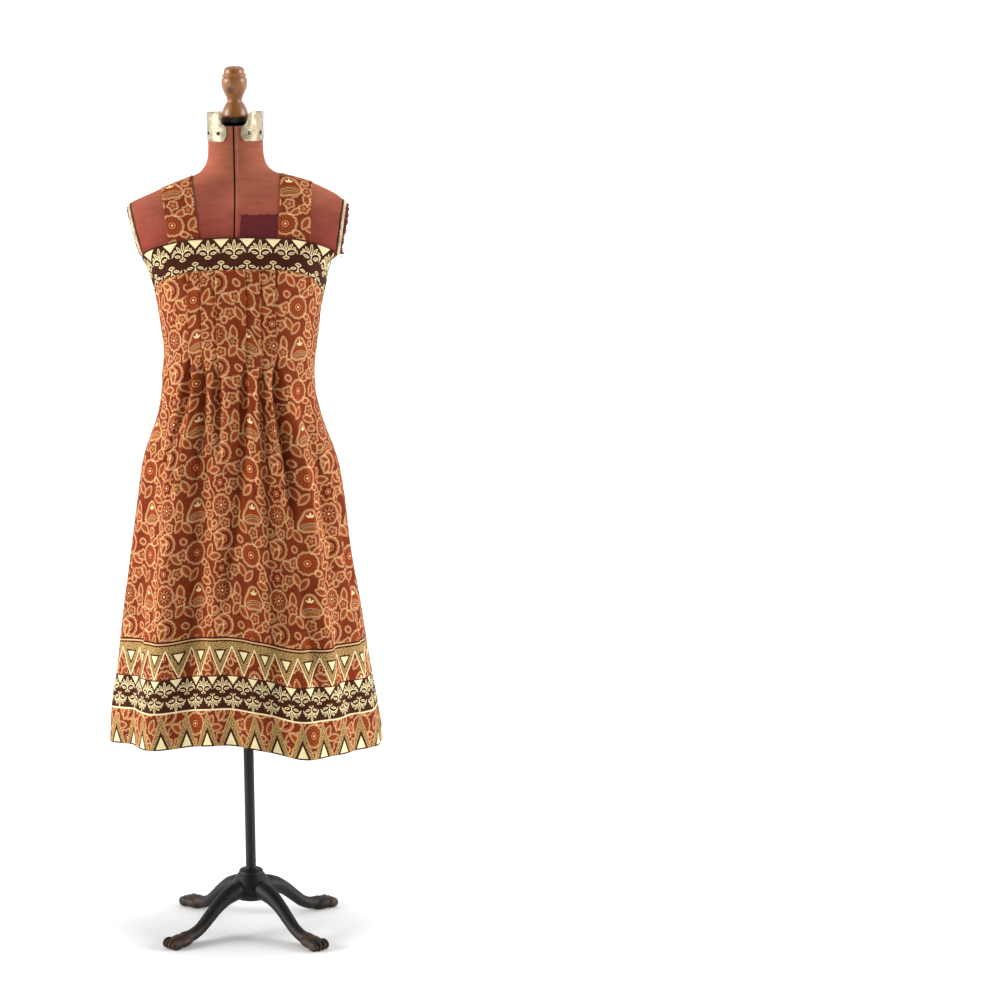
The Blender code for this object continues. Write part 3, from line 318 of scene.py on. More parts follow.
@dataclass
class Body:
    """A body of level sections, read at any height and part of the way to its side."""

    rows: Sequence[Section]
    height_step: float = 0.0015
    samples: int = 161
    heights: Array = field(init=False)
    points: dict[tuple[int, int], Array] = field(init=False)
    normals: dict[tuple[int, int], Array] = field(init=False)
    lengths: dict[tuple[int, int], Array] = field(init=False)

    def __post_init__(self) -> None:
        """Work out a quarter of the body on each side, front and back."""
        low, high = self.rows[0].height, self.rows[-1].height
        self.heights = np.linspace(low, high, int((high - low) / self.height_step) + 1)
        self.points, self.normals, self.lengths = {}, {}, {}
        for side in (-1, 1):
            for face in Face:
                self._work_out(side, face)

    def column(self, name: str, height: Array) -> Array:
        """One named size of the sections at some heights."""
        places = [row.height for row in self.rows]
        return curve_at(places, [getattr(row, name) for row in self.rows], height)

    def _work_out(self, side: int, face: int) -> None:
        """Spread points evenly along one quarter of every section.

        Args:
            side: -1 for the wearer's right, 1 for the left.
            face: which half.
        """
        turn = np.linspace(0.0, 0.5 * math.pi, 2 * self.samples)
        width = self.column("right" if side > 0 else "left", self.heights)[:, None]
        depth = self.column("front" if face == Face.FRONT else "back", self.heights)[:, None]
        power = 2.0 / self.column("squareness", self.heights)[:, None]
        across = width * np.sin(turn)[None, :] ** power
        ahead = depth * np.maximum(np.cos(turn), 0.0)[None, :] ** power
        steps = np.hypot(np.diff(across, axis=1), np.diff(ahead, axis=1))
        run = np.concatenate([np.zeros((len(self.heights), 1)), np.cumsum(steps, axis=1)], axis=1)
        even = np.linspace(0.0, 1.0, self.samples)
        placed = np.empty((len(self.heights), self.samples, 2))
        for index, lengths in enumerate(run):
            wanted = even * lengths[-1]
            placed[index, :, 0] = side * np.interp(wanted, lengths, across[index])
            placed[index, :, 1] = face * np.interp(wanted, lengths, ahead[index])
        along = np.gradient(placed, axis=1)
        along[:, 0, 1] = 0.0
        along[:, -1, 0] = 0.0
        normal = np.stack([along[:, :, 1], -along[:, :, 0]], axis=2)
        normal *= np.sign((normal * placed).sum(axis=2).mean())
        normal /= np.maximum(np.linalg.norm(normal, axis=2), 1.0e-12)[:, :, None]
        self.points[side, face] = placed
        self.normals[side, face] = normal
        self.lengths[side, face] = run[:, -1]

    def read(
        self, height: Array, fraction: Array, face: int
    ) -> tuple[Array, Array, Array]:
        """Read points of the surface.

        Args:
            height: Height of each point.
            fraction: Part of the way from the centre line to the side, by sign.
            face: which half.

        Returns:
            The level points, their outward normals and the quarter's running length.
        """
        level = np.interp(height, self.heights, np.arange(len(self.heights)))
        low = np.minimum(level.astype(int), len(self.heights) - 2)
        up = level - low
        run = np.minimum(np.abs(fraction), 1.0) * (self.samples - 1)
        near = np.minimum(run.astype(int), self.samples - 2)
        on = run - near
        point = np.empty(height.shape + (2,))
        normal = np.empty(height.shape + (2,))
        length = np.empty(height.shape)
        for side in (-1, 1):
            chosen = (fraction >= 0.0) == (side > 0)
            lo, ne = low[chosen], near[chosen]
            a, b = up[chosen][:, None], on[chosen][:, None]
            for source, target in ((self.points, point), (self.normals, normal)):
                grid = source[side, face]
                lower = grid[lo, ne] * (1.0 - b) + grid[lo, ne + 1] * b
                upper = grid[lo + 1, ne] * (1.0 - b) + grid[lo + 1, ne + 1] * b
                target[chosen] = lower * (1.0 - a) + upper * a
            quarter = self.lengths[side, face]
            length[chosen] = quarter[lo] * (1.0 - up[chosen]) + quarter[lo + 1] * up[chosen]
        return point, normal, length

    def fraction_at(self, height: Array, across: float, face: int) -> Array:
        """Part of the way to the side of a line at one distance from the centre.

        Args:
            height: Heights to read.
            across: Distance of the line from the centre, by sign.
            face: Which half.

        Returns:
            The part of the way at each height, by sign.
        """
        side = 1 if across >= 0.0 else -1
        level = np.interp(height, self.heights, np.arange(len(self.heights)))
        rows = np.clip(np.round(level).astype(int), 0, len(self.heights) - 1)
        even = np.linspace(0.0, 1.0, self.samples)
        found = {
            row: float(np.interp(abs(across), np.abs(self.points[side, face][row, :, 0]), even))
            for row in np.unique(rows)
        }
        return side * np.vectorize(found.get)(rows)

    def depth_at(self, height: Array, across: Array, face: int) -> Array:
        """How far the surface lies before or behind the pole, seen from the front.

        Args:
            height: Height of each point.
            across: Its distance from the centre, by sign.
            face: Which half.

        Returns:
            The depth of each point, by sign.
        """
        width = np.where(across > 0.0, self.column("right", height), self.column("left", height))
        depth = self.column("front" if face == Face.FRONT else "back", height)
        power = self.column("squareness", height)
        part = np.minimum(np.abs(across) / width, 1.0)
        return face * depth * (1.0 - part**power) ** (1.0 / power)


FORM = Body(FORM_SECTIONS)
DRESS = Body(DRESS_SECTIONS)


def smooth_step(low: float, high: float, value: Array) -> Array:
    """Rise softly from 0 at the low value to 1 at the high one."""
    part = np.clip((value - low) / (high - low), 0.0, 1.0)
    return part * part * (3.0 - 2.0 * part)


def bump(off: Array) -> Array:
    """A soft bump: 1 at nought, and nearly gone two away from it."""
    return np.exp(-(off**2))


def run_along(line: Array) -> Array:
    """Length along a line up to each of its points."""
    steps = np.linalg.norm(np.diff(line, axis=0), axis=1)
    return np.concatenate([[0.0], np.cumsum(steps)])


def grid_mesh(columns: int, rows: int) -> tuple[BMesh, Array, Array]:
    """Make a flat grid whose corners still have to be placed.

    Args:
        columns: Corners from side to side.
        rows: Corners from top to bottom.

    Returns:
        The grid, and the column and the row of each of its corners.
    """
    built = bmesh.new()
    bmesh.ops.create_grid(built, x_segments=columns - 1, y_segments=rows - 1, size=1.0)
    built.verts.ensure_lookup_table()
    places = np.array([vert.co[:2] for vert in built.verts])
    column = np.rint((places[:, 0] + 1.0) * 0.5 * (columns - 1)).astype(int)
    row = np.rint((1.0 - places[:, 1]) * 0.5 * (rows - 1)).astype(int)
    return built, column, row


def place_all(built: BMesh, places: Array) -> None:
    """Move every corner of a mesh to its place."""
    for vert, place in zip(built.verts, places):
        vert.co = place


def all_of(built: BMesh) -> list:
    """Every corner, edge and face of a mesh."""
    return built.verts[:] + built.edges[:] + built.faces[:]


def cut_off(built: BMesh, geom: list, place: Vector, outwards: Vector,
            close: bool = True) -> list:
    """Cut a mesh along a plane and take away what lies outside it.

    Args:
        built: The mesh.
        geom: The corners, edges and faces that are cut.
        place: A point of the plane.
        outwards: Direction of what is taken away.
        close: Whether the cut is closed with a flat face.

    Returns:
        The corners and edges that lie on the cut.
    """
    cut = bmesh.ops.bisect_plane(
        built, geom=geom, dist=1.0e-5, plane_co=place, plane_no=outwards, clear_outer=True,
    )["geom_cut"]
    if close:
        edges = [part for part in cut if isinstance(part, BMEdge)]
        bmesh.ops.holes_fill(built, edges=edges, sides=0)
    return cut


def mesh_of(built: BMesh, name: str) -> Mesh:
    """Turn a mesh under way into a finished one."""
    mesh = bpy.data.meshes.new(name)
    built.to_mesh(mesh)
    built.free()
    return mesh


def put(name: str, data: ID) -> Object:
    """Put an object with a mesh, a curve, a lamp or a camera in the scene."""
    piece = bpy.data.objects.new(name, data)
    bpy.context.scene.collection.objects.link(piece)
    return piece


def finished(built: BMesh, name: str, *finishes: Material) -> Object:
    """Put a mesh in the scene as a piece that rides on the part.

    Args:
        built: The mesh, with the pole at the origin.
        name: Name of the piece.
        finishes: Its materials, in the order of their numbers.

    Returns:
        The new piece.
    """
    bmesh.ops.translate(built, vec=POLE_PLACE, verts=built.verts)
    mesh = mesh_of(built, name)
    mesh.shade_smooth()
    for finish in finishes:
        mesh.materials.append(finish)
    piece = put(name, mesh)
    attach(piece, "root")
    REPORT.info("%s: %d faces", name, len(mesh.polygons))
    return piece


def stands_for(piece: Object, node: str) -> None:
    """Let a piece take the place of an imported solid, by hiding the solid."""
    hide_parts(node)


def thicken(piece: Object, thickness: float, offset: float, even: bool = True) -> None:
    """Give a sheet its thickness.

    Args:
        piece: The sheet.
        thickness: Its thickness, in metres.
        offset: Which side of the sheet is kept: -1 its outside, 1 its inside.
        even: Whether the wall stays as thick where the sheet bends sharply.
    """
    wall = piece.modifiers.new("thickness", "SOLIDIFY")
    wall.thickness = thickness
    wall.offset = offset
    wall.use_even_offset = even


def cloth_piece(built: BMesh, places: Array, flat: Array, name: str,
                finish: Material, offset: float) -> Object:
    """Make a piece of cloth from a grid.

    Args:
        built: The grid.
        places: Where each of its corners goes.
        flat: The flat cut of each corner, in metres, which is the map that the print follows.
        name: Name of the piece.
        finish: Its material.
        offset: Which side of the grid is kept, as in thicken.

    Returns:
        The piece, its faces turned away from the pole.
    """
    place_all(built, places)
    if sum(face.normal.dot(face.calc_center_median()) for face in built.faces) < 0.0:
        bmesh.ops.reverse_faces(built, faces=built.faces)
    layer = built.loops.layers.uv.new("cloth")
    for face in built.faces:
        for loop in face.loops:
            loop[layer].uv = flat[loop.vert.index]
    piece = finished(built, name, finish)
    thicken(piece, CLOTH_THICKNESS, offset)
    return piece


def cut_corners(piece: Object) -> Array:
    """Corners of each face of a piece's flat cut, in metres."""
    corners = np.empty(2 * len(piece.data.loops))
    piece.data.uv_layers["cloth"].uv.foreach_get("vector", corners)
    return corners.reshape(-1, 4, 2)


@dataclass
class Stitches:
    """Rows of sewing stitches, each one a small raised block of thread."""

    name: str
    pitch: float = 0.0030
    length: float = 0.0019
    width: float = 0.00042
    proud: float = 0.00016
    built: BMesh = field(default_factory=bmesh.new)

    def sew(self, line: Array, outwards: Array) -> None:
        """Sew a row of stitches along a line.

        Args:
            line: Points along the row, in metres.
            outwards: Direction out of the cloth at each point.
        """
        run = run_along(line)

        def read(values: Array, place: float) -> Vector:
            """Read the line or its directions at a length along it."""
            return Vector([np.interp(place, run, values[:, axis]) for axis in range(3)])

        for place in np.arange(0.5 * self.pitch, run[-1], self.pitch):
            start, end = read(line, place - 0.5 * self.length), read(line, place + 0.5 * self.length)
            up = read(outwards, place).normalized()
            along = (end - start).normalized()
            block = (along * self.length, up.cross(along) * self.width, up * (2.0 * self.proud))
            turn = Matrix(block).transposed().to_4x4()
            matrix = Matrix.Translation((start + end) * 0.5) @ turn
            bmesh.ops.create_cube(self.built, size=1.0, matrix=matrix)

    def finish(self) -> None:
        """Put all the rows in the scene as one piece."""
        finished(self.built, self.name, THREAD.made())


@dataclass(frozen=True)
class Points:
    """Points of a panel, by height, part of the way to the side seam and length up to it."""

    height: Array
    fraction: Array
    quarter: Array


@dataclass
class Panel:
    """A dress panel, with the band that tops it, on the sections of the dress."""

    word: str
    face: Face
    band_top: Sequence[Edge]
    hem: Sequence[Edge]
    folds: Sequence[Fold]
    creases: Sequence[Crease]
    tucks: Sequence[Tuck]
    print_shift: float
    plain_columns: int = 120
    rows: int = 214
    band_rows: int = 16
    # Columns on each side of a tuck, as parts of the way to the side seam
    tuck_marks: tuple[float, ...] = (0.0009, 0.0022, 0.004, 0.0065, 0.010, 0.0145, 0.020)
    tuck_room: float = 0.0205
    side_length: float = 0.22
    side_fade: float = 0.12
    groove_half_width: float = 0.0030
    groove_depth: float = 0.0017
    lap_height: float = 0.0009
    lap_half_width: float = 0.0042
    fold_depth: float = 0.0092
    fold_half_width: float = 0.0105
    fold_start: float = 0.0026
    opening: float = 0.16
    release_depth: float = 0.0042
    release_half_width: float = 0.0022
    seam_dip: float = 0.0009
    seam_half_width: float = 0.0016
    top_dip: float = 0.0008
    top_half_width: float = 0.0009
    band_ripple: float = 0.0005
    topstitch_drop: float = 0.0042
    free_depth: float = 0.0095
    rest_room: float = 0.0075
    skirt_room: float = 0.03

    def tuck_line(self, tuck: Tuck, height: Array) -> Array:
        """Where a tuck's line runs at some heights, as parts of the way to the side."""
        above = DRESS.fraction_at(np.clip(height, 1.06, 1.24), tuck.across, self.face)
        swing = np.clip((1.13 - height) / 0.10, 0.0, 1.0)
        return above + (tuck.below - above) * swing

    def tuck_off(self, tuck: Tuck, at: Points) -> tuple[float, Array]:
        """How far points lie from a tuck's line, away from the centre of the panel.

        Args:
            tuck: The tuck.
            at: The points.

        Returns:
            The sign of the tuck's side, and the distance of each point in metres.
        """
        outwards = 1.0 if tuck.below > 0.0 else -1.0
        return outwards, (at.fraction - self.tuck_line(tuck, at.height)) * at.quarter * outwards

    def columns(self) -> Array:
        """Column places across the panel, close together on the tucks and at the seams."""
        marks = np.linspace(-1.0, 1.0, self.plain_columns + 1)
        steps = [side * step for side in (-1, 1) for step in self.tuck_marks] + [0.0]
        for tuck in self.tucks:
            marks = marks[np.abs(marks - tuck.below) > self.tuck_room + 0.0005]
        close = [tuck.below + step for tuck in self.tucks for step in steps]
        seams = [side * place for side in (-1, 1) for place in (0.9985, 0.996, 0.992)]
        return np.unique(np.concatenate([marks, close, seams]))

    def follow_tucks(self, place: Array, height: Array) -> Array:
        """Move the columns so that those on a tuck stay on its line at every height.

        Args:
            place: Column place of each point.
            height: Its height.

        Returns:
            Its part of the way to the side seam, just short of the seam itself.
        """
        ends = np.ones(height.shape)
        knots, targets = [-ends], [-ends]
        for tuck in self.tucks:
            line = self.tuck_line(tuck, height)
            for step in (-self.tuck_room, self.tuck_room):
                knots.append(ends * (tuck.below + step))
                targets.append(line + step)
        knots.append(ends)
        targets.append(ends)
        moved = place.copy()
        for low, high, start, end in zip(knots, knots[1:], targets, targets[1:]):
            inside = (place >= low) & (place <= high)
            part = (place - low) / (high - low)
            moved[inside] = (start + part * (end - start))[inside]
        limit = 1.0 - 0.5 * SEAM_GAP / self.side_length
        return np.clip(moved, -limit, limit)

    def lift(self, at: Points) -> Array:
        """How far the cloth stands out from its plain section.

        Args:
            at: The points.

        Returns:
            The distance outwards at each point.
        """
        total = np.zeros(at.height.shape)
        low, high = FOLD_HEIGHTS[0], FOLD_HEIGHTS[-1]
        drop = np.clip((high - at.height) / (high - low), 0.0, 1.0)
        for fold in self.folds:
            level = curve_at(FOLD_HEIGHTS, (fold.hem, fold.knee, fold.hip, 0.0), at.height)
            width = fold.width_waist + (fold.width_hem - fold.width_waist) * drop
            total += level * bump((at.fraction - fold.fraction) * at.quarter / width)
        total *= np.minimum((1.0 - np.abs(at.fraction)) / self.side_fade, 1.0)
        for tuck in self.tucks:
            total += self.tuck_lift(tuck, at)
        for crease in self.creases:
            total += self.crease_lift(crease, at)
        # Where the form stands behind the cloth, a trough stops softly before it
        room = self.rest_room + self.skirt_room * (1.0 - smooth_step(0.66, 0.78, at.height))
        past = np.minimum(total + self.free_depth, 0.0)
        return np.maximum(total, -self.free_depth) + room * np.tanh(past / room)

    def tuck_lift(self, tuck: Tuck, at: Points) -> Array:
        """The stitched lap of one tuck and the fold that opens under its release.

        Args:
            tuck: The tuck.
            at: The points.

        Returns:
            The distance outwards at each point.
        """
        _, off = self.tuck_off(tuck, at)
        groove = -self.groove_depth * bump(np.maximum(off, 0.0) / self.groove_half_width)
        groove *= smooth_step(-0.0004, 0.0003, off)
        lap = self.lap_height * bump((off + 0.0012) / self.lap_half_width)
        lap *= smooth_step(0.0006, -0.0004, off)
        fall = np.clip((tuck.release - at.height) / (tuck.release - tuck.fades_at), 0.0, 1.0)
        opened = np.clip(fall / self.opening, 0.0, 1.0)
        width = self.fold_start + (self.fold_half_width - self.fold_start) * opened
        depth = self.groove_depth + (self.fold_depth * tuck.strength - self.groove_depth) * opened
        fade = 1.0 - np.clip((fall - self.opening) / (1.0 - self.opening), 0.0, 1.0)
        fold = -depth * fade * np.exp(-((off / width) ** 2) * 1.6)
        sharp = -self.release_depth * tuck.strength * bump(off / self.release_half_width)
        sharp *= smooth_step(0.0, 0.04, fall) * (1.0 - smooth_step(0.12, 0.34, fall))
        under = smooth_step(0.0, 0.03, fall)
        return (groove + lap) * (1.0 - under) + (fold + sharp) * under

    def crease_lift(self, crease: Crease, at: Points) -> Array:
        """One soft trough or ridge, which dies away at both ends.

        Args:
            crease: The trough or ridge.
            at: The points.

        Returns:
            The distance outwards at each point.
        """
        mean = float(np.median(at.quarter))
        span = np.array([(crease.end - crease.start) * mean, crease.end_height - crease.start_height])
        length = float(np.linalg.norm(span))
        along_x = (at.fraction - crease.start) * mean
        along_z = at.height - crease.start_height
        part = (along_x * span[0] + along_z * span[1]) / length**2
        aside = (along_x * span[1] - along_z * span[0]) / length
        # A slight wave, different for each, so that none runs straight
        bend = 0.10 * crease.width * np.sin(7.0 * part + 31.0 * crease.start)
        taper = np.sin(math.pi * np.clip(part, 0.0, 1.0)) ** 0.65
        return crease.lift * taper * bump((aside + bend) / crease.width)

    def flat_across(self, at: Points) -> Array:
        """Place across the flat cut, with the cloth that each tuck takes up left out.

        The print is cut at a stitched tuck, and below its release it runs into the fold.

        Args:
            at: The points.

        Returns:
            The place across, in metres.
        """
        along = at.fraction * at.quarter
        for tuck in self.tucks:
            outwards, off = self.tuck_off(tuck, at)
            width = 0.0004 + 0.16 * np.clip(tuck.release - at.height, 0.0, 0.25)
            along = along + outwards * TUCK_TAKE * smooth_step(-1.0, 1.0, off / width)
        return along

    def place(self, columns: Array, height: Array,
              plain: bool) -> tuple[Array, Array, Array]:
        """Place points of the cloth.

        Args:
            columns: Column place of each point.
            height: Its height.
            plain: Whether the cloth follows its section without folds, tucks and creases.

        Returns:
            The points, their level directions outwards and their places across the flat cut.
        """
        fraction = self.follow_tucks(columns, height)
        point, normal, quarter = DRESS.read(height, fraction, self.face)
        lift = np.zeros(height.shape)
        across = fraction * quarter
        if not plain:
            at = Points(height, fraction, quarter)
            lift = self.lift(at)
            across = self.flat_across(at)
        edge = (1.0 - np.abs(fraction)) * quarter
        lift = lift - self.seam_dip * bump(edge / self.seam_half_width)
        level = point + normal * lift[:, None]
        return np.column_stack([level, height]), normal, across

    def build(self, cotton: Material) -> None:
        """Build the panel from the seam under its band down to its hem.

        Args:
            cotton: The printed cotton.
        """
        marks = self.columns()
        built, column, row = grid_mesh(len(marks), self.rows)
        top = edge_height(self.band_top, marks[column]) - BAND_HEIGHT - 0.5 * SEAM_GAP
        bottom = edge_height(self.hem, marks[column])
        height = top + (bottom - top) * (row / (self.rows - 1))
        points, normal, across = self.place(marks[column], height, False)
        under_band = bump((top - height) / self.seam_half_width)
        points[:, :2] -= normal * (self.seam_dip * under_band)[:, None]
        flat = np.column_stack([across + self.print_shift, height - bottom])
        piece = cloth_piece(built, points, flat, f"dress_{self.word}", cotton, -1.0)
        stands_for(piece, f"{self.word}_panel")
        corners = cut_corners(piece)

    def sew(self, stitches: Stitches) -> None:
        """Sew the stitching along the top of the band, just under its fold.

        Args:
            stitches: The stitches that the row joins.
        """
        fraction = np.linspace(-0.985, 0.985, 160)
        height = edge_height(self.band_top, fraction) - self.topstitch_drop
        point, normal, _ = DRESS.read(height, fraction, self.face)
        level = np.column_stack([normal, np.zeros(len(height))])
        stitches.sew(np.column_stack([point, height]), level)

    def build_band(self, cotton: Material) -> None:
        """Build the band above the panel, folded over at its top edge.

        Args:
            cotton: The cotton cut from the border of the print.
        """
        marks = self.columns()
        built, column, row = grid_mesh(len(marks), self.band_rows)
        top = edge_height(self.band_top, marks[column])
        part = row / (self.band_rows - 1)
        # Closer rows at both edges, where the band bends most
        part = 0.5 * (part + smooth_step(0.0, 1.0, part))
        height = top - (BAND_HEIGHT - 0.5 * SEAM_GAP) * part
        points, normal, across = self.place(marks[column], height, True)
        sink = self.seam_dip * bump((height - (top - BAND_HEIGHT)) / self.seam_half_width)
        sink += self.top_dip * bump((top - height) / self.top_half_width)
        sink += self.band_ripple * np.sin(across / 0.021) * np.sin(across / 0.0083 + 1.3)
        points[:, :2] -= normal * sink[:, None]
        flat = np.column_stack([across, height - top + BAND_HEIGHT])
        piece = cloth_piece(built, points, flat, f"band_{self.word}_print", cotton, -1.0)
        stands_for(piece, f"band_{self.word}")


@dataclass
class Strap:
    """A shoulder strap that lies on the form, its ends behind the two bands."""

    word: str
    front: float
    shoulder: float
    back: float
    print_place: float
    print_height: float = 0.31
    rows: int = 90
    columns: int = 16
    lines: int = 40
    peak: float = 0.48
    edge_rise: float = 0.0006

    def band_height(self, edge: Sequence[Edge], across: Array, face: Face) -> Array:
        """Height of a band's top edge at some distances from the centre.

        Args:
            edge: The top edge.
            across: The distances, by sign.
            face: Which half.

        Returns:
            The heights.
        """
        height = np.full(across.shape, edge[len(edge) // 2].height)
        for _ in range(6):
            fraction = np.array(
                [DRESS.fraction_at(np.array([h]), a, face)[0] for h, a in zip(height, across)]
            )
            height = edge_height(edge, fraction)
        return height

    def outline(self, across: float, front: float, back: float) -> Array:
        """The form's outline at one distance from the centre, over the shoulder.

        Args:
            across: The distance, by sign.
            front: Height at which it starts in front.
            back: Height at which it ends behind.

        Returns:
            Depth, height, running length and outward direction of points spread evenly along it.
        """
        heights = np.linspace(1.34, 1.42, 801)
        wide = FORM.column("right" if across > 0.0 else "left", heights) > abs(across)
        ridge = float(heights[wide][-1])
        turn = np.sin(0.5 * math.pi * np.linspace(0.0, 1.0, 121))
        ahead = front + (ridge - front) * turn
        behind = (back + (ridge - back) * turn)[::-1]
        at = np.full(turn.shape, across)
        before = np.column_stack([FORM.depth_at(ahead, at, Face.FRONT), ahead])
        after = np.column_stack([FORM.depth_at(behind, at, Face.BACK), behind])
        line = np.concatenate([before, after[1:]])
        run = run_along(line)
        wanted = np.linspace(0.0, run[-1], self.rows)
        spread = np.column_stack([np.interp(wanted, run, line[:, axis]) for axis in range(2)])
        along = np.gradient(spread, axis=0)
        along /= np.linalg.norm(along, axis=1)[:, None]
        return np.column_stack([spread, wanted, -along[:, 1], along[:, 0]])

    def build(self, cotton: Material) -> None:
        """Build the strap as a strip over the shoulder.

        Args:
            cotton: The printed cotton.
        """
        built, column, row = grid_mesh(self.columns, self.rows)
        part = np.linspace(0.0, 1.0, self.rows)
        middle = curve_at((0.0, self.peak, 1.0), (self.front, self.shoulder, self.back), part)
        side = np.linspace(-0.5, 0.5, self.columns)
        across = middle[:, None] + STRAP_WIDTH * side[None, :]
        known = np.linspace(across.min(), across.max(), self.lines)
        lows = self.band_height(FRONT_BAND_TOP, known, Face.FRONT) - STRAP_TUCK_IN
        rears = self.band_height(BACK_BAND_TOP, known, Face.BACK) - STRAP_TUCK_IN
        stack = np.stack([self.outline(*ends) for ends in zip(known, lows, rears)])
        index = np.interp(across, known, np.arange(self.lines))
        low = np.minimum(index.astype(int), self.lines - 2)
        share = (index - low)[:, :, None]
        step = np.arange(self.rows)[:, None]
        line = stack[low, step] * (1.0 - share) + stack[low + 1, step] * share
        rise = (STRAP_CLEARANCE + self.edge_rise * (2.0 * side) ** 4)[None, :, None]
        placed = np.concatenate([across[:, :, None], line[:, :, :2] + line[:, :, 3:] * rise], axis=2)
        cut = np.column_stack([side[column] * STRAP_WIDTH, line[row, column, 2]])
        piece = cloth_piece(
            built, placed[row, column], cut + np.array([self.print_place, self.print_height]),
            f"strap_{self.word}_print", cotton, 1.0,
        )
        stands_for(piece, f"strap_{self.word}")


@dataclass
class ArmEnd:
    """One arm end of the form: where its slanted plane lies, and the layers that end there."""

    word: str
    side: int
    reach: float
    lean: float
    worn: float
    board: float = 0.0050
    felt: float = 0.0022
    rim: float = 0.0055
    rim_points: int = 150
    rim_rows: int = 4
    rim_thickness: float = 0.0008
    thread_radius: float = 0.00022
    thread_count: int = 26
    thread_spots: int = 60

    def outwards(self) -> Vector:
        """Direction out through the arm end."""
        turn = math.atan(self.lean)
        return Vector((self.side * math.cos(turn), 0.0, -math.sin(turn)))

    def at(self, start: float) -> Vector:
        """A point of the plane that lies a given way out from the arm end's own."""
        return Vector((self.side * self.reach, 0.0, ARM_PLANE_HEIGHT)) + self.outwards() * start

    def stub(self, built: BMesh, alone: bool) -> list:
        """Find the part of a mesh that is high enough to belong to an arm stub.

        Args:
            built: Mesh of the torso, which gets a ring of edges just under the stubs.
            alone: Whether all that is lower goes.

        Returns:
            The vertices, edges and faces of that part.
        """
        bmesh.ops.bisect_plane(
            built, geom=all_of(built), dist=1.0e-5, plane_co=(0.0, 0.0, STUB_BOTTOM),
            plane_no=UP, clear_inner=alone,
        )
        level = STUB_BOTTOM - 1.0e-4
        parts = [vert for vert in built.verts if vert.co.z > level]
        for group in (built.edges, built.faces):
            parts += [part for part in group if all(vert.co.z > level for vert in part.verts)]
        return parts

    def cut(self, built: BMesh, start: float, keep_out: bool) -> None:
        """Cut a mesh along the arm end's plane and close it.

        Args:
            built: Mesh to cut.
            start: How far out the cut lies.
            keep_out: Whether the part outside the plane stays, and not the inner one.
        """
        away = -self.outwards() if keep_out else self.outwards()
        cut_off(built, self.stub(built, keep_out), self.at(start), away)

    def slab(self, form: "FormCover", name: str, start: float, end: float, grow: float,
             finish: Material) -> Object:
        """A layer of the arm end, with the outline of the form there.

        Args:
            form: The form.
            name: Name of the layer.
            start: How far out it begins.
            end: How far out it ends.
            grow: How far its edge stands out past the form's outline, on average.
            finish: Its material.

        Returns:
            The layer.
        """
        built = form.shell()
        self.cut(built, start, True)
        self.cut(built, end, False)
        middle = self.at(0.5 * (start + end))
        outwards = self.outwards()
        for vert in built.verts:
            aside = vert.co - middle
            aside -= outwards * aside.dot(outwards)
            length = max(aside.length, 1.0e-6)
            ragged = 0.3 * math.sin(9.0 * math.atan2(aside.y, aside.z) + self.reach * 90.0)
            vert.co += aside * (grow * (1.0 + ragged) / length)
        bmesh.ops.recalc_face_normals(built, faces=built.faces)
        return finished(built, name, finish)

    def outline(self, form: "FormCover", count: int) -> tuple[Array, Array]:
        """Points spread evenly round the form's outline at the plane of the arm end.

        Args:
            form: The form.
            count: How many points.

        Returns:
            The points, and the directions from their middle out to each.
        """
        built = form.shell()
        cut = cut_off(built, self.stub(built, True), self.at(0.0), self.outwards(), close=False)
        verts = np.array([part.co for part in cut if isinstance(part, BMVert)])
        built.free()
        centre = verts.mean(axis=0)
        angles = np.arctan2(verts[:, 1] - centre[1], verts[:, 2] - centre[2])
        wanted = np.linspace(-math.pi, math.pi, count, endpoint=False)
        points = np.column_stack(
            [np.interp(wanted, angles, verts[:, axis], period=FULL_TURN) for axis in range(3)]
        )
        aside = points - points.mean(axis=0)
        return points, aside / np.linalg.norm(aside, axis=1)[:, None]

    def frayed_rim(self, form: "FormCover", finish: Material) -> None:
        """The torn lining that stands past the board's face, ragged and uneven.

        Args:
            form: The form.
            finish: Its material.
        """
        inner, aside = self.outline(form, self.rim_points)
        built, column, row = grid_mesh(self.rim_points + 1, self.rim_rows)
        spot = column % self.rim_points
        angle = spot / self.rim_points * FULL_TURN
        torn = 0.80 + 0.30 * np.sin(3.0 * angle + self.reach * 70.0)
        torn += 0.35 * np.sin(23.0 * angle + 1.7) * np.sin(41.0 * angle)
        reach = self.rim * self.worn * torn * row / (self.rim_rows - 1) - 0.0006
        sink = 0.0009 * np.sin(29.0 * angle + row) * self.worn - 0.0016
        outwards = np.array(self.outwards())
        place_all(built, inner[spot] + outwards * reach[:, None] + aside[spot] * sink[:, None])
        bmesh.ops.remove_doubles(built, verts=built.verts, dist=1.0e-6)
        bmesh.ops.recalc_face_normals(built, faces=built.faces)
        piece = finished(built, f"arm_fray_{self.word}", finish)
        thicken(piece, self.rim_thickness, 0.0, even=False)

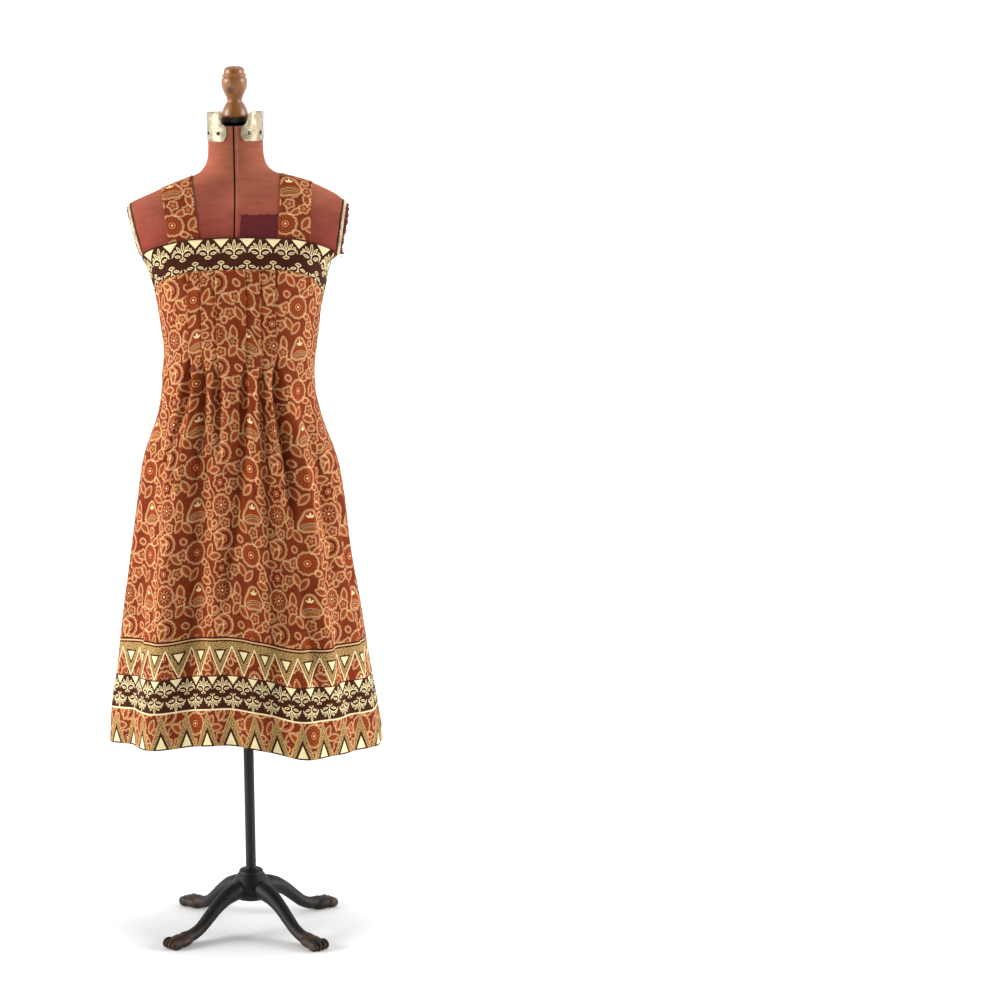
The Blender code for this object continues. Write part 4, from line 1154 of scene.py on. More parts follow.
    def threads(self, form: "FormCover", finish: Material) -> None:
        """Loose threads of the torn jersey, each a thin bent strand.

        Args:
            form: The form.
            finish: Their material.
        """
        edge, asides = self.outline(form, self.thread_spots)
        outwards = self.outwards()
        strands = bpy.data.curves.new(f"arm_threads_{self.word}", "CURVE")
        strands.dimensions = "3D"
        strands.bevel_depth = self.thread_radius
        strands.bevel_resolution = 1
        strands.materials.append(finish)
        for number in range(self.thread_count):
            spot = (number * 17 + 5) % self.thread_spots
            aside = Vector(asides[spot])
            length = (0.004 + 0.006 * ((number * 37) % 10) / 10.0) * self.worn
            if number == 3:
                length = 0.012
            bend = Vector((0.0, 0.6 * math.sin(number * 2.3), 0.7 * math.cos(number) - 0.3))
            spline = strands.splines.new("POLY")
            spline.points.add(4)
            for step, point in enumerate(spline.points):
                share = step / 4.0
                out = length * share
                along = outwards * (0.7 * out - 0.001) + aside * (0.002 + 0.5 * out)
                place = Vector(edge[spot]) + along + bend * (out * share) + POLE_PLACE
                point.co = (*place, 1.0)
        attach(put(strands.name, strands), "root")


@dataclass
class FormCover:
    """The covered torso in its two halves, and the layers at its arm ends."""

    arms: list[ArmEnd]
    gap_width: float = 0.0030
    gap_depth: float = 0.0050
    quarter_columns: int = 46
    rings: int = 300
    edge_roll: float = 0.0022

    def shell(self) -> BMesh:
        """The whole torso as one closed shell, with the gap at the front and at the back."""
        arc = np.linspace(0.0, 1.0, self.quarter_columns + 1)[1:]
        # Once round it: side, half, part of the way to the side, and how deep in the gap
        turn: list[tuple[int, Face, float, float]] = []
        for side, face in ((1, Face.FRONT), (1, Face.BACK), (-1, Face.BACK), (-1, Face.FRONT)):
            quarter = [(side, face, 0.0, sink) for sink in (1.0, 0.35, 0.0)]
            quarter += [(side, face, place, -1.0) for place in arc[:-1]]
            seam = [(side, face, 1.0, -1.0)]
            turn += quarter + seam if side * face < 0 else quarter[::-1]
        built, column, row = grid_mesh(len(turn) + 1, self.rings)
        height = self.ring_heights()[row]
        places = np.empty((len(height), 3))
        edge = 0.5 * self.gap_width
        for index, (side, face, fraction, sink) in enumerate(turn + turn[:1]):
            chosen = column == index
            level = height[chosen]
            wanted = np.full(level.shape, side * max(fraction, 1.0e-7))
            point, _, quarter = FORM.read(level, wanted, face)
            if sink >= 0.0:
                point[:, 0] = side * edge * (1.0 - 0.2 * sink)
                point[:, 1] -= face * (sink * self.gap_depth + 0.0004)
            else:
                run = fraction * quarter
                rolled = side * np.maximum(edge + self.edge_roll * 0.4, run)
                point[:, 0] = np.where(run < edge * 2.0, rolled, point[:, 0])
            places[chosen] = np.column_stack([point, level])
        place_all(built, places)
        bmesh.ops.remove_doubles(built, verts=built.verts, dist=1.0e-6)
        bmesh.ops.holes_fill(built, edges=[e for e in built.edges if e.is_boundary], sides=0)
        bmesh.ops.recalc_face_normals(built, faces=built.faces)
        return built

    def ring_heights(self) -> Array:
        """Heights of the rings, close together over the arm stubs and the shoulders."""
        ends = (FORM_BOTTOM, 1.19, 1.32, 1.43)
        spans = [
            np.linspace(low, high, count, endpoint=False)
            for low, high, count in zip(ends, ends[1:], (60, 70, 120))
        ]
        return np.concatenate([*spans, np.linspace(ends[-1], NECK_TOP, self.rings - 250)])[::-1]

    def build(self) -> None:
        """Build the jersey cover, cut off at both arm ends, with the gap down its middle painted
        near-black as shade.
        """
        built = self.shell()
        for arm in self.arms:
            arm.cut(built, -arm.board - arm.felt, False)
        bmesh.ops.recalc_face_normals(built, faces=built.faces)
        edge = 0.5 * self.gap_width
        # Faces inside the gap take the second material, a near-black painted shade
        for piece in built.faces:
            middle = piece.calc_center_median()
            if abs(middle.x) < edge * 0.999 and middle.z > FORM_BOTTOM + 0.001:
                piece.material_index = 1
        cover = finished(built, "form_cover", Jersey().made(), GAP_SHADE.made())
        stands_for(cover, "form_torso")

    def build_arms(self) -> None:
        """Build the board, the felt, the torn jersey and its threads at both arm ends."""
        board, felt, torn = Pasteboard().made(), FELT.made(), TORN_JERSEY.made()
        for arm in self.arms:
            piece = arm.slab(self, f"arm_board_edge_{arm.word}", -arm.board, 0.0, 0.0002, board)
            stands_for(piece, f"arm_board_{arm.word}")
            arm.slab(self, f"arm_felt_{arm.word}", -arm.board - arm.felt, -arm.board, 0.0009, felt)
            arm.frayed_rim(self, torn)
            arm.threads(self, torn)


def spun(profile: Sequence[Turned], bottom: float) -> BMesh:
    """Spin a profile round the pole's axis.

    Args:
        profile: Its points from the top down.
        bottom: Height of its lowest point.

    Returns:
        The turned shape.
    """
    built = bmesh.new()
    verts = [built.verts.new((row.radius, 0.0, bottom + row.height)) for row in profile]
    edges = [built.edges.new(pair) for pair in zip(verts, verts[1:])]
    bmesh.ops.spin(
        built, geom=verts + edges, cent=(0.0, 0.0, 0.0), axis=UP,
        angle=FULL_TURN, steps=64, use_merge=True,
    )
    bmesh.ops.remove_doubles(built, verts=built.verts, dist=1.0e-5)
    bmesh.ops.recalc_face_normals(built, faces=built.faces)
    return built


@dataclass
class Finial:
    """The turned wooden finial, with its beads and its waist."""

    profile: tuple[Turned, ...] = rows_of(
        Turned,
        (0.0090, 0.0898), (0.0140, 0.0880), (0.0178, 0.0835), (0.0190, 0.0768), (0.0214, 0.0748),
        (0.0216, 0.0730), (0.0203, 0.0712), (0.0219, 0.0680), (0.0228, 0.0630), (0.0222, 0.0545),
        (0.0190, 0.0455), (0.0150, 0.0370), (0.0130, 0.0300), (0.0133, 0.0272), (0.0150, 0.0255),
        (0.0180, 0.0205), (0.0210, 0.0140), (0.0228, 0.0080), (0.0235, 0.0030), (0.0228, 0.0000),
    )
    top: Turned = Turned(0.0, 0.0902)
    points: int = 90
    groove: float = 0.0008
    groove_half_width: float = 0.0007
    grooves: tuple[float, ...] = (0.0766, 0.0709, 0.0264)

    def build(self) -> None:
        """Build the finial with a smooth, finely turned outline."""
        places = run_along(np.array([(row.radius, row.height) for row in self.profile]))
        run = np.linspace(0.0, places[-1], self.points)
        radius = curve_at(places, [row.radius for row in self.profile], run)
        height = curve_at(places, [row.height for row in self.profile], run)
        for cut in self.grooves:
            radius = radius - self.groove * bump((height - cut) / self.groove_half_width)
        fine = [Turned(float(r), float(h)) for r, h in zip(radius, height)]
        built = spun([self.top, *fine, Turned(0.0, 0.0)], FINIAL_BOTTOM)
        stands_for(finished(built, "finial_turned", Beech().made()), "finial")


@dataclass
class Rivets:
    """The domed rivet heads that hold the neck plates, two in each."""

    radius: float = 0.0037
    height: float = 0.0018
    seat: float = 0.0007

    def head(self, node: str, finish: Material) -> None:
        """Build one head where its plain node stands, its dome away from the neck.

        Args:
            node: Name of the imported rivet.
            finish: Its material.
        """
        low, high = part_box(node)
        middle = (low + high) * 0.5 - POLE_PLACE
        outwards = Vector((middle.x, middle.y, 0.0)).normalized()
        built = bmesh.new()
        bmesh.ops.create_uvsphere(built, u_segments=24, v_segments=14, radius=self.radius)
        cut_off(built, all_of(built), Vector(), -UP)
        bmesh.ops.scale(built, vec=(1.0, 1.0, self.height / self.radius), verts=built.verts)
        turn = outwards.to_track_quat("Z", "Y").to_matrix().to_4x4()
        place = Matrix.Translation(middle - outwards * self.seat)
        bmesh.ops.transform(built, matrix=place @ turn, verts=built.verts)
        bmesh.ops.recalc_face_normals(built, faces=built.faces)
        stands_for(finished(built, f"{node}_head", finish), node)

    def build(self) -> None:
        """Build the eight heads: the first on each left plate of bare steel, the rest near-black as
        painted hole shade.
        """
        steel, dark = STEEL.made(), PAINTED_HOLE_SHADE.made()
        for face in ("front", "back"):
            for side in ("left", "right"):
                self.head(f"rivet_{face}_{side}_1", steel if side == "left" else dark)
                self.head(f"rivet_{face}_{side}_2", dark)


@dataclass
class Stand:
    """The casting: a domed hub, four S-shaped legs and their paws."""

    leg_turn: float = math.radians(43.0)
    leg_count: int = 4
    leg_steps: int = 40
    leg_sides: int = 28
    voxel: float = 0.0011
    quick_voxel: float = 0.003
    hub_bottom: float = 0.054
    hub: tuple[Turned, ...] = rows_of(
        Turned,
        (0.0000, 0.0580), (0.0130, 0.0580), (0.0190, 0.0576), (0.0218, 0.0556), (0.0228, 0.0530),
        (0.0222, 0.0512), (0.0245, 0.0490), (0.0315, 0.0385), (0.0368, 0.0260), (0.0370, 0.0130),
        (0.0300, 0.0030), (0.0180, 0.0000), (0.0000, 0.0000),
    )
    leg: tuple[LegPoint, ...] = rows_of(
        LegPoint,
        (0.000, 0.074, 0.0180), (0.030, 0.076, 0.0175), (0.056, 0.070, 0.0155),
        (0.080, 0.057, 0.0130), (0.104, 0.038, 0.0118), (0.126, 0.0215, 0.0112),
        (0.146, 0.0140, 0.0115), (0.164, 0.0120, 0.0125),
    )
    pad: tuple[float, float, float] = (0.027, 0.0175, 0.0125)
    pad_place: tuple[float, float, float] = (0.170, 0.0, 0.0095)
    toe: tuple[float, float, float] = (0.0128, 0.0052, 0.0100)
    toe_count: int = 4
    toe_reach: float = 0.203
    toe_height: float = 0.0080
    toe_spread: float = 0.0092

    def lump(self, built: BMesh, half: Sequence[float], place: Sequence[float],
             turn: Matrix) -> None:
        """Add a rounded lump to the casting.

        Args:
            built: The casting.
            half: Half of the lump's length, width and height.
            place: Its middle, on a leg that points along +X.
            turn: Turn of the leg round the pole.
        """
        made = bmesh.ops.create_uvsphere(built, u_segments=32, v_segments=20, radius=1.0)["verts"]
        bmesh.ops.scale(built, vec=half, verts=made)
        bmesh.ops.translate(built, vec=place, verts=made)
        bmesh.ops.rotate(built, cent=(0.0, 0.0, 0.0), matrix=turn, verts=made)

    def add_leg(self, built: BMesh, turn: Matrix) -> None:
        """Sweep one leg from the hub out to its paw.

        Args:
            built: The casting.
            turn: Turn of the leg round the pole.
        """
        reaches = [row.reach for row in self.leg]
        run = np.linspace(reaches[0], reaches[-1], self.leg_steps)
        height = curve_at(reaches, [row.height for row in self.leg], run)
        thick = curve_at(reaches, [row.thickness for row in self.leg], run)
        slope = np.gradient(height, run)
        made = bmesh.ops.create_circle(built, cap_ends=True, segments=self.leg_sides, radius=1.0)
        face = made["verts"][0].link_faces[0]
        for index, reach in enumerate(run):
            if index:
                face = bmesh.ops.extrude_discrete_faces(built, faces=[face])["faces"][0]
            along = Vector((1.0, 0.0, slope[index])).normalized()
            upward = Vector((-along.z, 0.0, along.x))
            centre = Vector((reach, 0.0, height[index]))
            for number, vert in enumerate(face.verts):
                angle = FULL_TURN * number / self.leg_sides
                spoke = Vector((0.0, math.cos(angle), 0.0)) + upward * math.sin(angle)
                vert.co = turn @ (centre + spoke * thick[index])

    def melt(self, built: BMesh) -> BMesh:
        """Melt the lumps of the casting into one softly joined mesh.

        Args:
            built: The lumps.

        Returns:
            The joined mesh.
        """
        lumps = put("casting_lumps", mesh_of(built, "casting_lumps"))
        remesh = lumps.modifiers.new("melt", "REMESH")
        remesh.mode = "VOXEL"
        remesh.voxel_size = self.voxel
        remesh.adaptivity = 0.0
        soften = lumps.modifiers.new("soften", "SMOOTH")
        soften.factor = 0.5
        soften.iterations = 6
        bpy.context.view_layer.update()
        depsgraph = bpy.context.evaluated_depsgraph_get()
        mesh = bpy.data.meshes.new_from_object(lumps.evaluated_get(depsgraph))
        bpy.data.objects.remove(lumps, do_unlink=True)
        casting = bmesh.new()
        casting.from_mesh(mesh)
        return casting

    def build(self) -> None:
        """Build the lumps of the casting, melt them into one and cut it off at the floor."""
        built = spun(self.hub, self.hub_bottom)
        for number in range(self.leg_count):
            turn = Matrix.Rotation(self.leg_turn + number * FULL_TURN / self.leg_count, 3, "Z")
            self.add_leg(built, turn)
            self.lump(built, self.pad, self.pad_place, turn)
            for toe in range(self.toe_count):
                step = toe - 0.5 * (self.toe_count - 1)
                reach = self.toe_reach - self.toe[0] * (1.0 + 0.1 * abs(step))
                place = (reach, step * self.toe_spread, self.toe_height)
                self.lump(built, self.toe, place, turn)
        bmesh.ops.recalc_face_normals(built, faces=built.faces)
        casting = self.melt(built)
        cut_off(casting, all_of(casting), Vector(), -UP)
        piece = finished(casting, "stand_casting", CastIron().made())
        stands_for(piece, "stand_base")


def linear(hex_colour: str) -> tuple[float, float, float, float]:
    """Turn an sRGB hex colour into the linear colour that a shader takes."""
    parts = [int(hex_colour[start:start + 2], 16) / 255.0 for start in (1, 3, 5)]
    turned = [part / 12.92 if part <= 0.04045 else ((part + 0.055) / 1.055) ** 2.4 for part in parts]
    return (*turned, 1.0)


class Ink(Enum):
    """The inks of the print, in the order of their places on its colour chart."""

    GROUND = "#853310"
    SPECK = "#48180C"
    MADDER = "#621A0C"
    ORANGE = "#8D3911"
    TAN = "#93522A"
    CREAM = "#EAD9A8"
    BROWN = "#3C180A"
    OUTLINE = "#D8A976"
    STRAW = "#8A6D43"
    SAND = "#B8965E"
    HATCH = "#4C2A10"

    def place(self) -> float:
        """Place on the colour chart, in the middle of the ink's own step."""
        return (list(Ink).index(self) + 0.5) / len(Ink)


@dataclass(frozen=True)
class Chart:
    """The colours that a number is turned into, each with its place from 0 to 1."""

    stops: Sequence[tuple[float, str]]
    interpolation: str = "LINEAR"

    def fill(self, ramp: ColorRamp) -> None:
        """Fill the ramp of a node with the colours."""
        ramp.interpolation = self.interpolation
        while len(ramp.elements) < len(self.stops):
            ramp.elements.new(1.0)
        for element, (place, colour) in zip(ramp.elements, self.stops):
            element.position = place
            element.color = linear(colour)


def sum_of(operation: str, swapped: bool = False) -> Callable[..., "Field"]:
    """Make the method of a field that works out one sum.

    Args:
        operation: The sum.
        swapped: Whether the field comes last in it.

    Returns:
        The method.
    """

    def work_out(self: "Field", *others: "Value") -> "Field":
        """Work the sum out with a Math node."""
        values = (*others, self) if swapped else (self, *others)
        return self.nodes.add("Math", *values, operation=operation)

    return work_out


@dataclass(frozen=True)
class Field:
    """A number or a direction that varies over a surface, with the sums that work on it."""

    nodes: "Nodes"
    socket: NodeSocket

    __add__ = __radd__ = sum_of("ADD")
    __sub__ = sum_of("SUBTRACT")
    __rsub__ = sum_of("SUBTRACT", swapped=True)
    __mul__ = __rmul__ = sum_of("MULTIPLY")
    __truediv__ = sum_of("DIVIDE")
    __abs__ = sum_of("ABSOLUTE")
    __lt__ = sum_of("LESS_THAN")
    __gt__ = sum_of("GREATER_THAN")
    sine = sum_of("SINE")
    cosine = sum_of("COSINE")
    angle = sum_of("ARCTAN2")
    wrap = sum_of("WRAP")
    least = sum_of("MINIMUM")
    most = sum_of("MAXIMUM")

    def all(self) -> list["Field"]:
        """Every output of the same node."""
        return [Field(self.nodes, socket) for socket in self.socket.node.outputs]


Value = Field | float | tuple[float, ...] | None


def line(off: Field, width: float) -> Field:
    """1 within half a width of where a distance is nought."""
    return abs(off) < 0.5 * width


class Nodes:
    """A node tree under way."""

    def __init__(self, tree: NodeTree) -> None:
        """Take up a tree."""
        self.tree = tree

    def add(self, kind: str, *values: Value, output: int = 0, **settings: object) -> Field:
        """Add a node with its settings and what goes in.

        Args:
            kind: Kind of the node, without its usual first words.
            values: What goes into its inputs in order, and None where one keeps its own value.
            output: Which of its outputs is meant.
            settings: Its settings by name.

        Returns:
            The chosen output.
        """
        node = self.tree.nodes.new(f"ShaderNode{kind}")
        for name, value in settings.items():
            if isinstance(value, Chart):
                value.fill(getattr(node, name))
            else:
                setattr(node, name, value)
        sockets = [socket for socket in node.inputs if socket.enabled]
        for socket, value in zip(sockets, values):
            self.feed(socket, value)
        outputs = [socket for socket in node.outputs if socket.enabled]
        return Field(self, outputs[output])

    def feed(self, socket: NodeSocket, value: Value) -> None:
        """Link a field to a socket, or set it to a plain value."""
        if isinstance(value, Field):
            self.tree.links.new(value.socket, socket)
        elif value is not None:
            socket.default_value = value


class Dye(Nodes):
    """A material under way: its node tree and its shader."""

    def __init__(self, name: str) -> None:
        """Start a material, named for the real one and how its surface was made."""
        self.material = bpy.data.materials.new(name)
        self.material.use_nodes = True
        super().__init__(self.material.node_tree)
        self.shader = self.tree.nodes["Principled BSDF"]

    def set(self, **inputs: Value) -> None:
        """Set the shader's sockets by name, with low lines for spaces."""
        for name, value in inputs.items():
            self.feed(self.shader.inputs[name.replace("_", " ")], value)

    def place(self) -> Field:
        """Place on the object, in metres."""
        return self.add("TexCoord", output=3)

    def drawn(self, scale: tuple[float, float, float]) -> Field:
        """Place on the object, drawn larger by its own share along each axis."""
        return self.add("VectorMath", self.place(), scale, operation="MULTIPLY")

    def spotted(self, colour: Field, where: Field, other: str) -> Field:
        """A colour with another one laid over it as far as the mask says."""
        return self.add("Mix", where, colour, linear(other), data_type="RGBA")

    def shaded(self, colour: Field, shade: Field) -> Field:
        """A colour made darker or lighter."""
        return self.add("Mix", 1.0, colour, shade, data_type="RGBA", blend_type="MULTIPLY")


@dataclass(frozen=True)
class Spot:
    """Where a motif stands in the repeat, in millimetres, its turn in degrees and its size."""

    across: float
    up: float
    turn: float = 0.0
    size: float = 1.0


VINES = (
    (Spot(50.0, 76.0, 160.0), 21.0, 1.2), (Spot(70.0, 100.0, -40.0), 19.0, 1.1),
    (Spot(116.0, 28.0, 100.0), 18.0, 1.3), (Spot(44.0, 10.0, 20.0), 19.0, 1.2),
    (Spot(6.0, 118.0, 220.0), 18.0, 1.2), (Spot(60.0, 140.0, 60.0), 15.0, 1.2),
)
LEAVES = rows_of(
    Spot,
    (64.0, 44.0, 65.0), (76.0, 34.0, 5.0), (8.0, 12.0, 120.0), (22.0, 4.0, 50.0),
    (64.0, 92.0, 100.0), (122.0, 96.0, 60.0), (10.0, 90.0, 130.0), (54.0, 143.0, 160.0),
    (124.0, 128.0, 95.0), (48.0, 66.0, 25.0), (116.0, 36.0, -40.0),
)
BUDS = rows_of(
    Spot,
    (76.0, 92.0, 30.0), (108.0, 150.0, 80.0), (48.0, 24.0, -20.0), (4.0, 66.0, 140.0),
    (60.0, 126.0, 0.0),
)
SMALL_FLOWERS = rows_of(
    Spot,
    (60.0, 72.0, 10.0), (34.0, 82.0, 40.0), (118.0, 10.0, -15.0), (122.0, 112.0, 25.0),
    (56.0, 6.0, 60.0), (2.0, 42.0, 5.0), (64.0, 108.0, 50.0, 0.9), (100.0, 92.0, 35.0, 0.95),
)
# Leaves of a sprig, with half of the length and of the width of each
SPRIG_LEAVES = (
    (Spot(0.0, 7.6, 90.0), (6.4, 2.2)), (Spot(5.6, 5.2, 50.0), (5.2, 1.9)),
    (Spot(7.2, -3.2, 12.0), (4.6, 1.8)),
)
# Berries of a sprig: middle and radius
SPRIG_BERRIES = (((11.0, 3.4, 0.0), 2.0), ((13.4, 0.2, 0.0), 1.8))


class Print(Dye):
    """A printed cotton under way: inks laid on in order, each over the last, in millimetres."""

    def __init__(self, name: str, repeat: tuple[float, float]) -> None:
        """Start the print from its ground.

        Args:
            name: Name of the material.
            repeat: Width and height of the repeat.
        """
        super().__init__(name)
        self.repeat = repeat
        cloth = self.add("UVMap", uv_map="cloth")
        self.flat = self.add("VectorMath", cloth, (1000.0, 1000.0, 1000.0), operation="MULTIPLY")
        self.across, self.up = self.split(self.flat)
        self.ink = self.add("Math", Ink.GROUND.place(), 0.0, operation="ADD")

    def split(self, local: Field) -> list[Field]:
        """How far across and how far up a place is."""
        return self.add("SeparateXYZ", local).all()[:2]

    def marks(self, scale: float, detail: float, roughness: float) -> Field:
        """Uneven marks over the flat cloth, by how many lie to a millimetre."""
        return self.add("TexNoise", self.flat, scale, detail, roughness, noise_dimensions="2D")

    def lay(self, mask: Field, ink: Ink) -> None:
        """Lay an ink where the mask is 1."""
        self.ink = self.add("Mix", mask, self.ink, ink.place(), data_type="FLOAT")

    def discs(self, reach: Field, *layers: tuple[float, Ink]) -> None:
        """Lay inks one on the other, each where the distance is less than its size."""
        for size, ink in layers:
            self.lay(reach < size, ink)

    def stroke(self, off: Field, width: float, ink: Ink) -> None:
        """Lay a line where a distance is nought."""
        self.lay(line(off, width), ink)

    def moved(self, local: Field, spot: Spot) -> Field:
        """Place in a part of a motif, with the part's length along +X.

        Args:
            local: Place in the motif.
            spot: Where the part lies in it.

        Returns:
            The place from the part's middle.
        """
        middle, turn = (spot.across, spot.up, 0.0), (0.0, 0.0, math.radians(spot.turn))
        size = (spot.size, spot.size, 1.0)
        return self.add("Mapping", local, middle, turn, size, vector_type="TEXTURE")

    def spot(self, spot: Spot) -> Field:
        """Local place of a motif that repeats.

        Args:
            spot: Where it stands.

        Returns:
            The place in it, from its middle.
        """
        half = (0.5 * self.repeat[0], 0.5 * self.repeat[1])
        low = (spot.across - half[0], spot.up - half[1], -1.0)
        high = (spot.across + half[0], spot.up + half[1], 1.0)
        wrapped = self.add("VectorMath", self.flat, high, low, operation="WRAP")
        return self.moved(wrapped, spot)

    def nearest(self, spots: Sequence[Spot]) -> Field:
        """Local place of whichever of several like motifs is nearest.

        Args:
            spots: Where they stand.

        Returns:
            The place in the nearest, from its middle.
        """
        chosen = self.spot(spots[0])
        reach = self.length(chosen)
        for spot in spots[1:]:
            other = self.spot(spot)
            away = self.length(other)
            chosen = self.add("Mix", away < reach, chosen, other, data_type="VECTOR")
            reach = away.least(reach)
        return chosen

    def length(self, local: Field) -> Field:
        """Distance from the middle of a motif."""
        return self.add("VectorMath", local, operation="LENGTH")

    def oval(self, local: Field, half_length: float, half_width: float) -> Field:
        """Distance outwards from a pointed oval, which lies along +X.

        Args:
            local: Place in it.
            half_length: Half of its length.
            half_width: Half of its width.

        Returns:
            The distance.
        """
        drop = (half_length**2 - half_width**2) / (2.0 * half_width)
        across, up = self.split(local)
        return self.length(self.add("CombineXYZ", across, abs(up) + drop, 0.0)) - (drop + half_width)

    def beads(self, off: Field, along: Field) -> None:
        """Lay the row of short beads that stands round an outline.

        Args:
            off: Distance outwards from the outline.
            along: A number that turns once round for each bead.
        """
        self.lay(line(off - 1.75, 1.7) * (along.sine() > -0.25), Ink.OUTLINE)

    def leaf(self, local: Field, half_length: float, half_width: float) -> None:
        """Lay a pointed, beaded leaf with a smaller one in it.

        Args:
            local: Place in the leaf, its point along +X.
            half_length: Half of its length.
            half_width: Half of its width.
        """
        off = self.oval(local, half_length, half_width)
        inner = 0.42 * half_width
        self.lay(off < 0.0, Ink.GROUND)
        self.stroke(off + inner, 0.6, Ink.TAN)
        self.lay(off < -inner - 0.6, Ink.ORANGE)
        self.stroke(off, 0.85, Ink.OUTLINE)
        self.beads(off, self.split(local)[0] * (FULL_TURN / 2.5))

    def blossom(self, local: Field, radius: float, depth: float, lobes: int,
                beads: float) -> tuple[Field, Field, Field]:
        """Lay the outline of a lobed flower.

        Args:
            local: Place in the flower.
            radius: Radius to the tips of its lobes.
            depth: How far its outline draws in between them.
            lobes: How many it has.
            beads: How many beads stand round it.

        Returns:
            Distance from the middle, angle, and distance outwards from the outline.
        """
        across, up = self.split(local)
        reach, angle = self.length(local), up.angle(across)
        wave = abs((angle * (0.5 * lobes)).cosine())
        off = reach + (depth - depth * wave) - radius
        self.lay(off < 0.0, Ink.GROUND)
        self.stroke(off, 0.95, Ink.OUTLINE)
        self.beads(off, angle * beads)
        return reach, angle, off

    def eye(self, reach: Field, radius: float) -> None:
        """Lay the orange middle of a flower, with its tan edge and cream heart."""
        self.discs(reach, (radius, Ink.OUTLINE), (radius - 0.6, Ink.ORANGE), (1.5, Ink.CREAM))

    def round_flower(self, local: Field) -> None:
        """A scalloped round flower: a tan ring, a madder ring of ringed dots, an orange eye."""
        reach, angle, off = self.blossom(local, 16.5, 1.6, 11, 44.0)
        self.stroke(off + 2.2, 0.6, Ink.TAN)
        self.discs(reach, (11.6, Ink.TAN), (10.8, Ink.MADDER))
        ring, step = 8.4, math.radians(20.0)
        apart = angle.wrap(step, -step) * ring
        dot = apart * apart + (reach - ring) * (reach - ring)
        self.discs(dot, (1.7, Ink.OUTLINE), (0.5, Ink.MADDER))
        self.eye(reach, 6.1)

    def ringed_flower(self, local: Field) -> None:
        """A round flower with a broad tan ring, for the larger blossoms of the skirt."""
        reach, angle, _ = self.blossom(local, 17.0, 1.3, 13, 46.0)
        petals = reach - abs((angle * 6.5).cosine()) * 3.2
        self.discs(reach, (13.6, Ink.TAN), (12.9, Ink.MADDER))
        self.discs(petals, (9.4, Ink.TAN), (8.7, Ink.ORANGE))
        self.stroke(reach - 7.6, 0.8, Ink.MADDER)
        self.eye(reach, 5.2)

    def leafed_flower(self, local: Field) -> None:
        """A round flower over which two leaves lie to one side."""
        reach, _, off = self.blossom(local, 16.0, 1.2, 14, 44.0)
        self.discs(off, (-1.7, Ink.TAN), (-3.6, Ink.MADDER))
        self.eye(reach, 7.2)
        for turn in (118.0, 200.0):
            side = math.radians(turn)
            spot = Spot(9.5 * math.cos(side), 9.5 * math.sin(side), turn + 14.0)
            self.leaf(self.moved(local, spot), 9.4, 4.2)

    def lobed_flower(self, local: Field) -> None:
        """A flower of six deep lobes with a madder ring and an orange eye."""
        reach, _, off = self.blossom(local, 15.5, 4.2, 6, 40.0)
        self.stroke(off + 2.4, 0.6, Ink.TAN)
        self.lay(off < -4.4, Ink.MADDER)
        self.eye(reach, 5.6)

    def small_flower(self, local: Field) -> None:
        """A small flower of five petals with a ring in the middle."""
        reach, _, off = self.blossom(local, 9.0, 3.0, 5, 26.0)
        self.stroke(off + 2.2, 0.7, Ink.TAN)
        self.discs(reach, (2.7, Ink.OUTLINE), (1.8, Ink.MADDER))

    def bud(self, local: Field) -> None:
        """A small heart-shaped bud."""
        self.lay(self.blossom(local, 5.4, 1.5, 2, 16.0)[2] < -1.7, Ink.ORANGE)

    def bell(self, local: Field) -> None:
        """A bell-shaped flower: cream petals, orange body, dotted band and scalloped hem."""
        across, up = self.split(local)
        angle = across.angle(up)
        scallop = abs((angle * 8.0).sine()) * (up < -5.0)
        off = self.length(local) - (angle * 3.0).cosine() * 2.6 - scallop * 0.9 - 15.0
        self.lay(off < 0.0, Ink.TAN)
        inside = off < -2.0
        bowed = up + across * across / 42.0
        dots = across.wrap(1.5, -1.5)
        dot = dots * dots + (bowed + 3.6) * (bowed + 3.6)
        # From the hem upwards: the dotted band, then the body with a line across it
        for mask, ink in (
            (bowed > -6.6, Ink.OUTLINE), (bowed > -5.9, Ink.MADDER), (dot < 0.7, Ink.OUTLINE),
            (bowed > -1.6, Ink.OUTLINE), (bowed > -0.9, Ink.ORANGE),
            (line(bowed - 4.2, 0.7), Ink.MADDER),
        ):
            self.lay(inside * mask, ink)
        self.stroke(off, 0.95, Ink.OUTLINE)
        self.beads(off, angle * 42.0)
        half = self.add("CombineXYZ", abs(across), up, 0.0)
        for spot, size in ((Spot(0.0, 10.6, 90.0), (3.9, 1.5)), (Spot(3.2, 8.6, 42.0), (3.4, 1.3))):
            self.lay(self.oval(self.moved(half, spot), *size) < 0.0, Ink.CREAM)

    def vine(self, local: Field, radius: float, span: float) -> None:
        """A double-lined stem that follows an arc and hooks at its end.

        Args:
            local: Place about the middle of its arc.
            radius: Radius of the arc.
            span: Half of the angle that it covers, in radians.
        """
        across, up = self.split(local)
        stem = abs(self.length(local) - radius) - 0.9
        self.lay((abs(up.angle(across)) < span) * line(stem, 0.7), Ink.OUTLINE)
        ahead, aside = math.cos(span), math.sin(span)
        middle = ((radius - 2.8) * ahead, (radius - 2.8) * aside, 0.0)
        hook = self.add("VectorMath", local, middle, operation="DISTANCE")
        self.lay(line(hook - 2.6, 0.9) * (up * ahead - across * aside > -1.2), Ink.OUTLINE)

    def allover(self) -> None:
        """The flowered repeat: ordinary flowers, leaves and stems in an arrangement of its own."""
